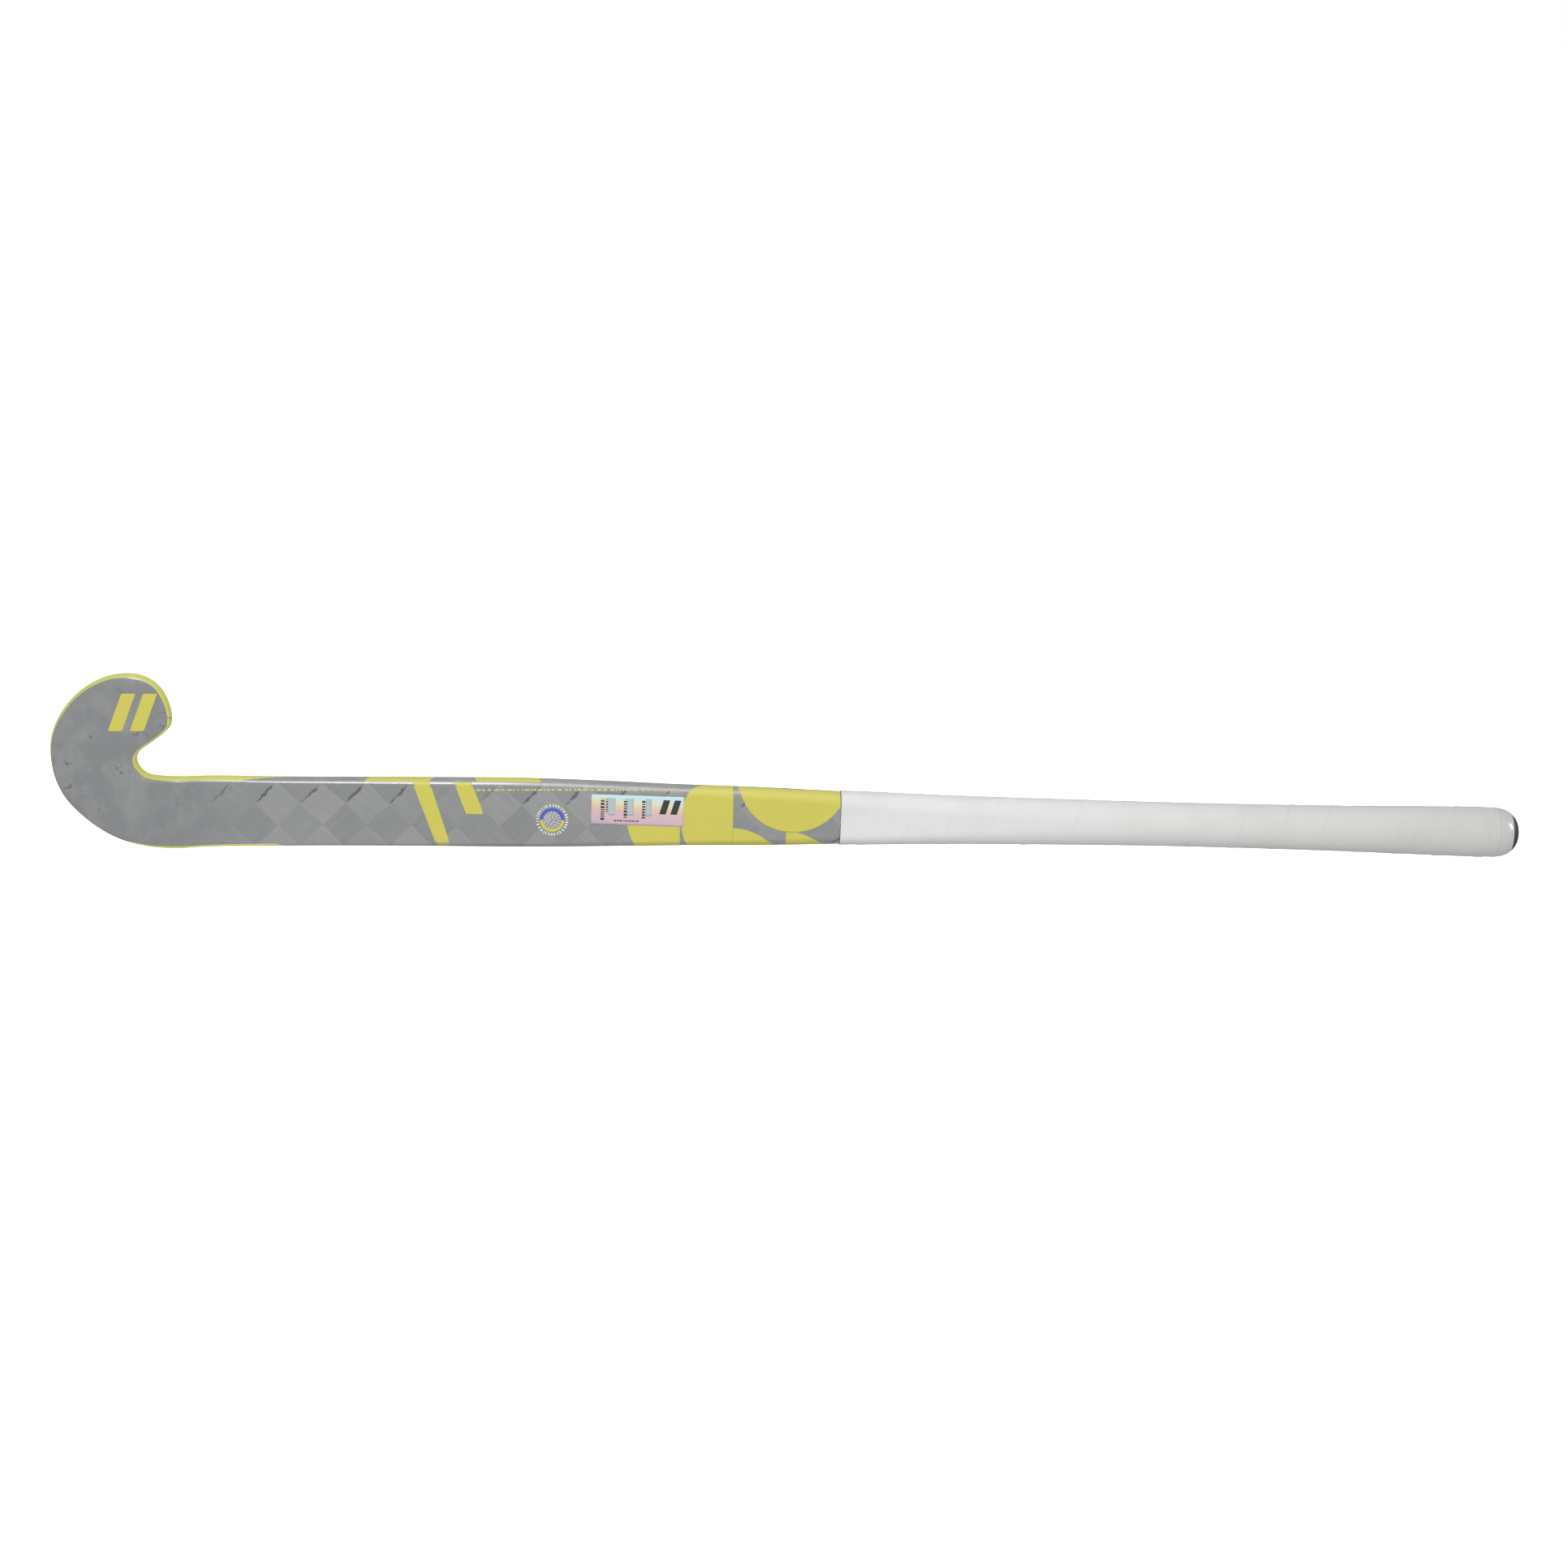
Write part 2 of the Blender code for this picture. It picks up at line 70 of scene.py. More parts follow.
log = logging.getLogger("field_hockey_stick")

Array = np.ndarray
Pair = tuple[float, float]
Triple = tuple[float, float, float]
Material, Mesh, Object, Node = bpy.types.Material, bpy.types.Mesh, bpy.types.Object, bpy.types.Node
Link = bpy.types.NodeSocket | float | tuple


# The stick's form


@dataclass(frozen=True)
class StickForm:
    """The stick's outer surface, drawn straight and then bowed.

    Lengths are in metres, the two tables in millimetres. head_pairs are points of the head's edge in station
    and height, in pairs across the stick: the side that faces the crook and the outer side, from the toe's
    tip to the shaft. shaft_rows hold the share of the way from shaft_start to the butt, the width, the
    thickness, the reach of the face's edge rounding, and how far the section has turned from flat to oval.
    """

    length: float = 0.927
    hold_from_butt: float = 0.070
    bow_depth: float = 0.0195
    bow_place: float = 0.335
    head_straight: float = 0.100
    butt_straight: float = 0.060
    edge_depth: float = 0.011
    back_round: float = 0.020
    back_power: float = 2.3
    wall: float = 0.0018
    shaft_start: float = 0.090
    samples: int = 2400
    head_pairs: tuple[tuple[Pair, Pair], ...] = (
        ((72.8, 58.7), (72.8, 58.7)), ((72.1, 54.3), (72.1, 64.8)), ((69.6, 51.3), (69.5, 72.4)),
        ((65.2, 47.4), (63.5, 80.6)), ((59.4, 43.1), (52.0, 86.1)), ((55.0, 39.9), (36.0, 85.2)),
        ((52.4, 37.0), (20.5, 77.5)), ((51.4, 34.0), (8.2, 64.6)), ((51.7, 31.0), (0.8, 48.5)),
        ((53.0, 28.2), (0.6, 29.5)), ((55.4, 25.5), (6.3, 12.5)), ((58.9, 23.5), (21.0, -4.4)),
        ((63.8, 22.5), (38.5, -16.0)), ((71.0, 22.0), (57.0, -21.6)), ((79.5, 21.8), (74.5, -23.0)),
    )
    shaft_rows: tuple[tuple[float, float, float, float, float], ...] = (
        (0.000, 44.4, 20.0, 2.0, 0.0), (0.060, 43.5, 20.1, 2.4, 0.0), (0.150, 43.7, 20.5, 3.4, 0.0),
        (0.250, 43.9, 21.0, 4.6, 0.0), (0.300, 42.0, 21.3, 5.0, 0.0), (0.350, 39.5, 21.6, 5.2, 0.0),
        (0.420, 37.2, 22.1, 5.5, 0.05), (0.490, 33.2, 22.7, 5.5, 0.15), (0.560, 30.0, 23.4, 5.5, 0.4),
        (0.630, 28.4, 24.4, 5.5, 0.75), (0.730, 26.9, 25.6, 5.5, 1.0), (0.800, 27.1, 26.4, 5.5, 1.0),
        (0.870, 28.2, 27.8, 5.5, 1.0), (0.930, 30.0, 29.8, 5.5, 1.0), (0.970, 30.9, 30.9, 5.5, 1.0),
        (1.000, 30.9, 30.9, 5.5, 1.0),
    )

    @property
    def toe_tip(self) -> Array:
        """Drawn point of the toe's tip."""
        station, height = self.head_pairs[0][0]
        return np.array([station * MM, self.edge_depth, height * MM])

    @property
    def butt_radius(self) -> float:
        """Radius of the round handle at the butt."""
        return self.shaft_rows[-1][1] * MM / 2

    @staticmethod
    def through(knots: Array, points: Array, where: Array) -> Array:
        """The cubic curve through points, its slope at each the mean of its neighbours' chords.

        Args:
            knots: the points' places along the curve, growing.
            points: one row per knot.
            where: places to read.

        Returns:
            One row per place.
        """
        step = np.diff(knots)[:, None]
        chord = np.diff(points, axis=0) / step
        slope = np.concatenate([chord[:1], np.zeros_like(chord[1:]), chord[-1:]])
        slope[1:-1] = (step[1:] * chord[:-1] + step[:-1] * chord[1:]) / (step[1:] + step[:-1])
        i = np.clip(np.searchsorted(knots, where) - 1, 0, len(step) - 1)
        h = step[i]
        t = (where - knots[i])[:, None] / h
        held = (1 + 2 * t) * (1 - t) ** 2 * points[i] + t**2 * (3 - 2 * t) * points[i + 1]
        return held + h * (t * (1 - t) ** 2 * slope[i] + t**2 * (t - 1) * slope[i + 1])

    def section(self, station: Array) -> tuple[Array, Array, Array, Array]:
        """Width, thickness, edge rounding and ovalness at each station, held level along the head."""
        rows = np.array(self.shaft_rows)
        knots = self.shaft_start + rows[:, 0] * (self.length - self.shaft_start)
        flat = np.clip(np.ravel(station), self.shaft_start, self.length)
        columns = self.through(knots, rows[:, 1:], flat).T
        width, thick, rounding, oval = (c.reshape(np.shape(station)) for c in columns)
        return width * MM, thick * MM, rounding * MM, np.clip(oval, 0, 1)

    def outline(self) -> tuple[Array, Array]:
        """Knots and points of the whole edge, from the butt's toe side round the toe's tip to its heel side."""
        head, rows = np.array(self.head_pairs) * MM, np.array(self.shaft_rows)
        along = self.shaft_start + rows[:, 0] * (self.length - self.shaft_start)
        half = rows[:, 1] * MM / 2
        toe = np.concatenate([head[:, 0], np.stack([along, half], 1)])
        heel = np.concatenate([head[:, 1], np.stack([along, -half], 1)])
        steps = [np.linalg.norm(np.diff(side, axis=0), axis=1) for side in (toe, heel)]
        knots = np.concatenate([[0.0], np.cumsum((steps[0] + steps[1]) / 2)])
        return np.concatenate([-knots[:0:-1], knots]), np.concatenate([toe[:0:-1], heel])

    def edge(self, knot: Array, inset: float = 0.0) -> Array:
        """Points of the stick's edge, moved inwards by inset; negative knots are on the toe's side."""
        knots, points = self.outline()
        small = 1e-5
        ahead = self.through(knots, points, np.minimum(knot + small, knots[-1]))
        along = ahead - self.through(knots, points, np.maximum(knot - small, knots[0]))
        along /= np.linalg.norm(along, axis=1)[:, None]
        return self.through(knots, points, knot) + inset * np.stack([-along[:, 1], along[:, 0]], 1)

    def knot_at(self, station: Array) -> Array:
        """Knots of the ribs that cross the shaft at these stations."""
        knots = np.linspace(0, self.outline()[0][-1], self.samples)
        outer = self.edge(knots)[:, 0]
        past = int(np.argmin(outer))
        return np.interp(station, outer[past:], knots[past:])

    def edge_distance(self, points: Array) -> Array:
        """Distance of each drawn (station, height) point from the edge, worked out a block at a time."""
        last = self.outline()[0][-1]
        line = self.edge(np.linspace(-last, last, self.samples))
        start, run = line[:-1], np.diff(line, axis=0)
        length = (run * run).sum(1)
        found = []
        for block in np.array_split(points, max(1, len(points) // 1500)):
            away = block[:, None, :] - start[None]
            share = np.clip((away * run).sum(2) / length, 0, 1)
            found.append(np.linalg.norm(away - share[..., None] * run, axis=2).min(1))
        return np.concatenate(found)

    def depths(self, station: Array, reach: Array, inset: float | Array) -> tuple[Array, Array]:
        """Front and back depths where a point is reach from the edge: two quarter-ovals that meet at the
        widest depth, the front one level once the edge rounding has run out."""
        width, thick, rounding, oval = self.section(station)
        half = width / 2
        corner = np.maximum(rounding + (half - rounding) * oval - inset, 0.4 * MM)
        crown = self.back_round + (half - self.back_round) * oval - inset
        widest = self.edge_depth + (thick / 2 - self.edge_depth) * oval
        power = self.back_power + (2 - self.back_power) * oval
        front_share = 1 - np.clip(reach / corner, 0, 1)
        back_share = 1 - np.clip(reach / crown, 0, 1)
        front = widest - (widest - inset) * np.sqrt(1 - front_share**2)
        return front, widest + (thick - inset - widest) * (1 - back_share**power) ** (1 / power)

    def bow(self, station: Array) -> tuple[Array, Array]:
        """How far the face lies behind the line from head to butt, and its slope: a parabola on each side of
        the deepest place, straight at both ends."""
        ahead = station < self.bow_place
        reach = np.where(ahead, self.bow_place, self.length - self.bow_place)
        straight = np.where(ahead, self.head_straight, self.butt_straight)
        curved = reach - straight
        rate = self.bow_depth / (curved * (curved + 2 * straight))
        away = np.abs(station - self.bow_place)
        inside = np.minimum(away, curved)
        depth = self.bow_depth - rate * inside * (inside + 2 * (away - inside))
        return depth, np.where(ahead, 2, -2) * rate * inside

    def bowed(self, points: Array) -> Array:
        """Drawn points (station, depth, height) on the bowed stick, measured from the head's lowest edge."""
        station, depth, height = (points[..., i] for i in range(3))
        back, slope = self.bow(station)
        lean = np.arctan(slope)
        return np.stack([station - depth * np.sin(lean), back + depth * np.cos(lean), height], -1)

    def bend(self, points: Array) -> Array:
        """Drawn points in the frame's coordinates, whose origin is on the handle's axis at the top hand."""
        hold = np.array(self.length - self.hold_from_butt)
        return self.bowed(points) - self.bowed(np.array([hold, self.section(hold)[1] / 2, 0.0]))


@dataclass(frozen=True)
class RibGrid:
    """The outer surface as ribs across the stick. Each runs from the middle of the back over the toe's side,
    across the face and round to the back's middle again, its columns closest together on the roundings."""

    form: StickForm
    corner_steps: int = 14
    face_steps: int = 14
    back_steps: int = 16

    def rib_places(self, length: Array, corner: Array) -> tuple[Array, Array]:
        """Shares of the way across each rib.

        Args:
            length: each rib's length from edge to edge.
            corner: reach of the edge rounding on each rib.

        Returns:
            Shares from 0 to 1 across the face, and from 0 at the edge to a half at the back's middle.
        """
        turn = np.linspace(0, math.pi / 2, self.corner_steps + 1)
        share = np.minimum(corner / length, 0.35)[:, None]
        flat = share + (0.5 - share) * np.linspace(0, 1, self.face_steps // 2 + 1)[None, 1:]
        half = np.concatenate([share * (1 - np.cos(turn))[None], flat], 1)
        quarter = np.linspace(0, math.pi / 2, self.back_steps + 1)
        back = 0.5 * (1 - np.cos(quarter)) + np.zeros((len(length), 1))
        return np.concatenate([half, 1 - half[:, -2::-1]], 1), back

    def drawn(self, knots: Array, inset: Array, exact: bool) -> tuple[Array, Array]:
        """Drawn points of the ribs.

        Args:
            knots: one per rib, from near 0 at the toe's tip.
            inset: how far inside the stick's own surface each rib lies.
            exact: whether the distance from the edge is measured, as on the curved head, or read from the
                height, as on the straight shaft.

        Returns:
            The points and their distances from the edge.
        """
        toe, heel = self.form.edge(-knots), self.form.edge(knots)
        length = np.linalg.norm(heel - toe, axis=1)
        _, _, rounding, oval = self.form.section((toe[:, 0] + heel[:, 0]) / 2)
        face, back = self.rib_places(length, rounding + (length / 2 - rounding) * oval)
        share = np.concatenate([back[:, :0:-1], face, 1 - back[:, 1:]], 1)
        edges = [self.back_steps, self.back_steps + face.shape[1] - 1]
        on_back = np.ones(share.shape, bool)
        on_back[:, edges[0] : edges[1] + 1] = False
        plan = toe[:, None] + share[..., None] * (heel - toe)[:, None]
        if exact:
            reach = self.form.edge_distance(plan.reshape(-1, 2)).reshape(share.shape)
        else:
            reach = np.minimum(share, 1 - share) * length[:, None]
        reach[:, edges] = 0
        inset = inset[:, None]
        half = np.maximum(length[:, None] / 2, 1e-9)
        shrink = np.where(inset > 0, 1 - inset / half, 1.0)
        middle = (toe + heel)[:, None] / 2
        plan = middle + (plan - middle) * shrink[..., None]
        front, behind = self.form.depths(plan[..., 0], reach * shrink, inset)
        return np.stack([plan[..., 0], np.where(on_back, behind, front), plan[..., 1]], -1), reach


def running_length(points: Array) -> Array:
    """Length along each row of points, from its first point."""
    steps = np.linalg.norm(np.diff(points, axis=1), axis=2)
    return np.concatenate([np.zeros((len(points), 1)), np.cumsum(steps, axis=1)], axis=1)


def smooth_step(low: float, high: float, value: Array) -> Array:
    """0 below low, 1 above high, and an S between."""
    t = np.clip((value - low) / (high - low), 0, 1)
    return t * t * (3 - 2 * t)


class Skin:
    """The shaft's outer surface, unrolled.

    A place on it is a station and the girth: the distance round the section from the face's middle line,
    positive towards the toe. The surface is a table with a row per station and even columns in the share of
    the half girth, read between them in straight lines.
    """

    def __init__(self, form: StickForm, rows: int = 600, columns: int = 520) -> None:
        """Works the table out, rows being stations from the shaft's start to the butt."""
        self.form = form
        self.stations = np.linspace(form.shaft_start + 0.002, form.length, rows)
        grid = RibGrid(form, corner_steps=40, face_steps=40, back_steps=60)
        drawn, _ = grid.drawn(form.knot_at(self.stations), np.zeros(rows), exact=False)
        drawn[..., 0] = self.stations[:, None]
        drawn = drawn[:, ::-1]
        girth = running_length(drawn)
        self.half_girth = girth[:, -1] / 2
        share = np.linspace(-1, 1, columns)
        self.table = np.array([
            np.stack([np.interp((share + 1) * h, g, d[:, k]) for k in range(3)], 1)
            for h, g, d in zip(self.half_girth, girth, drawn)
        ])

    def half_girth_at(self, station: Array) -> Array:
        """Distance round half the section at each station."""
        return np.interp(station, self.stations, self.half_girth)

    def drawn_at(self, station: Array, girth: Array) -> Array:
        """Drawn points at these stations and girths."""
        rows, columns = self.table.shape[:2]
        share = girth / self.half_girth_at(station)
        r = np.clip((station - self.stations[0]) / (self.stations[1] - self.stations[0]), 0, rows - 1.001)
        c = np.clip((share + 1) / 2 * (columns - 1), 0, columns - 1.001)
        i, j = r.astype(int), c.astype(int)
        a, b = (r - i)[..., None], (c - j)[..., None]
        t = self.table
        low = t[i, j] * (1 - b) + t[i, j + 1] * b
        return low * (1 - a) + (t[i + 1, j] * (1 - b) + t[i + 1, j + 1] * b) * a

    def at(self, station: Array, girth: Array, lift: Array | float) -> Array:
        """Points of the frame over these places, lifted off the surface along its normal: the cross product
        of the surface's two directions, taken over 0.6 mm."""
        small = 0.3 * MM
        along = self.drawn_at(station + small, girth) - self.drawn_at(station - small, girth)
        around = self.drawn_at(station, girth + small) - self.drawn_at(station, girth - small)
        normal = np.cross(along, around)
        normal /= np.maximum(np.linalg.norm(normal, axis=-1, keepdims=True), 1e-12)
        here = self.drawn_at(station, girth)
        outward = here - np.stack([station, self.form.section(station)[1] / 2, np.zeros_like(station)], -1)
        normal *= np.where((normal * outward).sum(-1, keepdims=True) < 0, -1, 1)
        lift = np.broadcast_to(np.asarray(lift, float), station.shape)[..., None]
        return self.form.bend(here + normal * lift)


# Meshes


def grid_faces(rows: int, columns: int, wrap: bool) -> Array:
    """Corner numbers of a grid's quads, row by row. With wrap, the last column joins the first."""
    i, j = np.meshgrid(np.arange(rows - 1), np.arange(columns if wrap else columns - 1), indexing="ij")
    k = (j + 1) % columns
    return np.stack([i * columns + j, i * columns + k, (i + 1) * columns + k, (i + 1) * columns + j], -1)


def make_mesh(name: str, points: Array, faces: Array) -> Mesh:
    """A mesh from an array of points and an array of quads."""
    mesh = bpy.data.meshes.new(name)
    points, faces = points.reshape(-1, 3), faces.reshape(-1, 4)
    mesh.vertices.add(len(points))
    mesh.vertices.foreach_set("co", points.astype(np.float32).ravel())
    mesh.loops.add(faces.size)
    mesh.loops.foreach_set("vertex_index", faces.astype(np.int32).ravel())
    mesh.polygons.add(len(faces))
    mesh.polygons.foreach_set("loop_start", (np.arange(len(faces)) * 4).astype(np.int32))
    mesh.polygons.foreach_set("loop_total", np.full(len(faces), 4, np.int32))
    mesh.update(calc_edges=True)
    mesh.validate()
    return mesh


def patch_mesh(name: str, patches: list[Array], flip: bool = False) -> Mesh:
    """One mesh from several grids of points, their faces turned over with flip."""
    points, faces, total = [], [], 0
    for patch in patches:
        quads = grid_faces(*patch.shape[:2], False).reshape(-1, 4)
        faces.append((quads[:, ::-1] if flip else quads) + total)
        points.append(patch.reshape(-1, 3))
        total += len(points[-1])
    return make_mesh(name, np.concatenate(points), np.concatenate(faces))


def add_uv(mesh: Mesh, name: str, per_corner: Array) -> None:
    """Gives the mesh a UV map from one pair of numbers per face corner."""
    mesh.uv_layers.new(name=name).data.foreach_set("uv", per_corner.astype(np.float32).ravel())


def add_value(mesh: Mesh, name: str, values: Array) -> None:
    """Gives the mesh a number at each point."""
    made = mesh.attributes.new(name, "FLOAT", "POINT")
    made.data.foreach_set("value", values.astype(np.float32).ravel())


@contextmanager
def editing(mesh: Mesh) -> Iterator[bmesh.types.BMesh]:
    """Opens a mesh for changes to its faces, then turns them outwards and puts it back."""
    shape = bmesh.new()
    shape.from_mesh(mesh)
    shape.verts.ensure_lookup_table()
    yield shape
    bmesh.ops.recalc_face_normals(shape, faces=shape.faces)
    shape.to_mesh(mesh)
    shape.free()


def clean(mesh: Mesh, distance: float) -> None:
    """Merges points closer than distance and drops faces with no area."""
    with editing(mesh) as shape:
        bmesh.ops.remove_doubles(shape, verts=shape.verts, dist=distance)
        bmesh.ops.dissolve_degenerate(shape, edges=shape.edges, dist=distance / 10)


def face_forward(mesh: Mesh) -> None:
    """Turns an open sheet so that its faces look towards the hitting side."""
    normals = np.zeros(len(mesh.polygons) * 3, np.float32)
    mesh.polygons.foreach_get("normal", normals)
    if normals.reshape(-1, 3)[:, 1].mean() > 0:
        mesh.flip_normals()


def add_piece(
    mesh: Mesh,
    finish: Material,
    stands_for: tuple[str, ...] = (),
    sharp: float | None = 40.0,
    wall: float = 0.0,
    inner: Material | None = None,
) -> Object:
    """Puts a finished mesh into the scene as a piece that rides on the stick.

    Args:
        mesh: its mesh in the frame's coordinates, which gives the piece its name.
        finish: its material.
        stands_for: the CAD nodes it replaces.
        sharp: angle in degrees past which an edge is sharp, or None for smooth all over.
        wall: thickness added on the inner side and closed round the rim.
        inner: the wall's own material, if it has one.

    Returns:
        The new object.
    """
    made = bpy.data.objects.new(mesh.name, mesh)
    bpy.context.scene.collection.objects.link(made)
    mesh.materials.append(finish)
    mesh.shade_smooth()
    if sharp is not None:
        mesh.set_sharp_from_angle(angle=math.radians(sharp))
    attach(made, ROOT)
    if stands_for:
        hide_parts(*stands_for)
    if inner:
        mesh.materials.append(inner)
    if wall:
        solid = made.modifiers.new("wall", "SOLIDIFY")
        solid.thickness, solid.offset = wall, -1.0
        solid.material_offset = solid.material_offset_rim = 1 if inner else 0
    log.info("%s: %d points, %d faces", made.name, len(mesh.vertices), len(mesh.polygons))
    return made


# Shader nodes


class Socket(Enum):
    """Kinds of socket on a node group."""

    VALUE = "NodeSocketFloat"
    VECTOR = "NodeSocketVector"


class Board:
    """A node tree with short calls for the nodes that the finishes use."""

    def __init__(self, tree: bpy.types.NodeTree) -> None:
        """Keeps the tree."""
        self.tree = tree

    def node(self, kind: str, inputs: dict[str | int, Link] | None = None, **settings: object) -> Node:
        """Adds a shader node.

        Args:
            kind: the node's type name after ShaderNode.
            inputs: values or links by input name or number.
            settings: the node's own properties.

        Returns:
            The node.
        """
        made = self.tree.nodes.new("ShaderNode" + kind)
        for key, value in settings.items():
            setattr(made, key, value)
        for key, value in (inputs or {}).items():
            self.put(made.inputs[key], value)
        return made

    def put(self, socket: bpy.types.NodeSocket, value: Link) -> None:
        """Links or sets one input."""
        if isinstance(value, bpy.types.NodeSocket):
            self.tree.links.new(value, socket)
        elif socket.type == "RGBA" and len(value) == 3:
            socket.default_value = (*value, 1.0)
        else:
            socket.default_value = value

    def math(self, operation: str, a: Link, b: Link = 0.0, c: Link = 0.0, clamp: bool = False) -> Link:
        """One Math node's result."""
        return self.node("Math", {0: a, 1: b, 2: c}, operation=operation, use_clamp=clamp).outputs[0]

    def add(self, a: Link, b: Link, clamp: bool = False) -> Link:
        """a plus b."""
        return self.math("ADD", a, b, clamp=clamp)

    def sub(self, a: Link, b: Link) -> Link:
        """a minus b."""
        return self.math("SUBTRACT", a, b)

    def mul(self, a: Link, b: Link) -> Link:
        """a times b."""
        return self.math("MULTIPLY", a, b)

    def mad(self, a: Link, b: Link, c: Link, clamp: bool = False) -> Link:
        """a times b plus c."""
        return self.math("MULTIPLY_ADD", a, b, c, clamp)

    def vector(self, operation: str, a: Link, b: Link = (0.0, 0.0, 0.0)) -> Link:
        """One Vector Math node's vector."""
        return self.node("VectorMath", {0: a, 1: b}, operation=operation).outputs[0]

    def stretch(self, value: Link, low: float, high: float, to_low: float = 0.0, to_high: float = 1.0) -> Link:
        """value carried smoothly from one range to another, and held at its ends."""
        ends = {"Value": value, "From Min": low, "From Max": high, "To Min": to_low, "To Max": to_high}
        return self.node("MapRange", ends, interpolation_type="SMOOTHSTEP").outputs["Result"]

    def noise(self, place: Link, scale: Link, detail: float = 2.0, rough: float = 0.5, out: str = "Fac") -> Link:
        """A noise between 0 and 1, scale being its grains in a metre."""
        inputs = {"Vector": place, "Scale": scale, "Detail": detail, "Roughness": rough}
        return self.node("TexNoise", inputs).outputs[out]

    def draw(self, place: Link) -> Link:
        """A random number between 0 and 1 for each place."""
        return self.node("TexWhiteNoise", {"Vector": place}, noise_dimensions="3D").outputs["Value"]

    def read(self, name: str) -> Link:
        """A number that the mesh holds at its points."""
        return self.node("Attribute", attribute_name=name, attribute_type="GEOMETRY").outputs["Fac"]

    def blend(self, share: Link, a: Link, b: Link) -> Link:
        """Two numbers mixed."""
        return self.node("Mix", {"Factor": share, "A": a, "B": b}, data_type="FLOAT").outputs[0]

    def mix(self, share: Link, a: Link, b: Link, how: str = "MIX") -> Link:
        """Two colours mixed."""
        return self.node("Mix", {0: share, 6: a, 7: b}, data_type="RGBA", blend_type=how).outputs[2]

    def tint(self, colour: Link, gain: Link) -> Link:
        """A colour times a number."""
        grey = self.node("CombineColor", {0: gain, 1: gain, 2: gain}).outputs[0]
        return self.mix(1.0, colour, grey, "MULTIPLY")

    def split(self, vector: Link) -> tuple[Link, Link, Link]:
        """A vector's three numbers."""
        return tuple(self.node("SeparateXYZ", {0: vector}).outputs)

    def join(self, x: Link, y: Link, z: Link = 0.0) -> Link:
        """A vector from three numbers."""
        return self.node("CombineXYZ", {0: x, 1: y, 2: z}).outputs[0]


class Effect:
    """A shader node group that several finishes share. Its outputs are all numbers."""

    name: ClassVar[str]
    inputs: ClassVar[dict[str, float | None]]
    outputs: ClassVar[tuple[str, ...]]

    def __init__(self) -> None:
        """Makes the group: an input without a default is a vector."""
        self.group = bpy.data.node_groups.new(self.name, "ShaderNodeTree")
        for key, default in self.inputs.items():
            kind = Socket.VECTOR if default is None else Socket.VALUE
            socket = self.group.interface.new_socket(key, in_out="INPUT", socket_type=kind.value)
            if kind is Socket.VALUE:
                socket.default_value = default
        for key in self.outputs:
            self.group.interface.new_socket(key, in_out="OUTPUT", socket_type=Socket.VALUE.value)
        source = self.group.nodes.new("NodeGroupInput").outputs
        result = self.group.nodes.new("NodeGroupOutput").inputs
        board = Board(self.group)
        for key, link in self.build(board, source["Place"], source).items():
            board.put(result[key], link)

    def build(self, b: Board, place: Link, source: bpy.types.bpy_prop_collection) -> dict[str, Link]:
        """Fills the group in.

        Args:
            b: the group's board.
            place: the Place input.
            source: all the inputs.

        Returns:
            The link for each output.
        """
        raise NotImplementedError

    def use(self, board: Board, **inputs: Link) -> bpy.types.bpy_prop_collection:
        """Places the group in a material; underscores in the input names stand for spaces."""
        named = {key.replace("_", " "): value for key, value in inputs.items()}
        return board.node("Group", named, node_tree=self.group).outputs


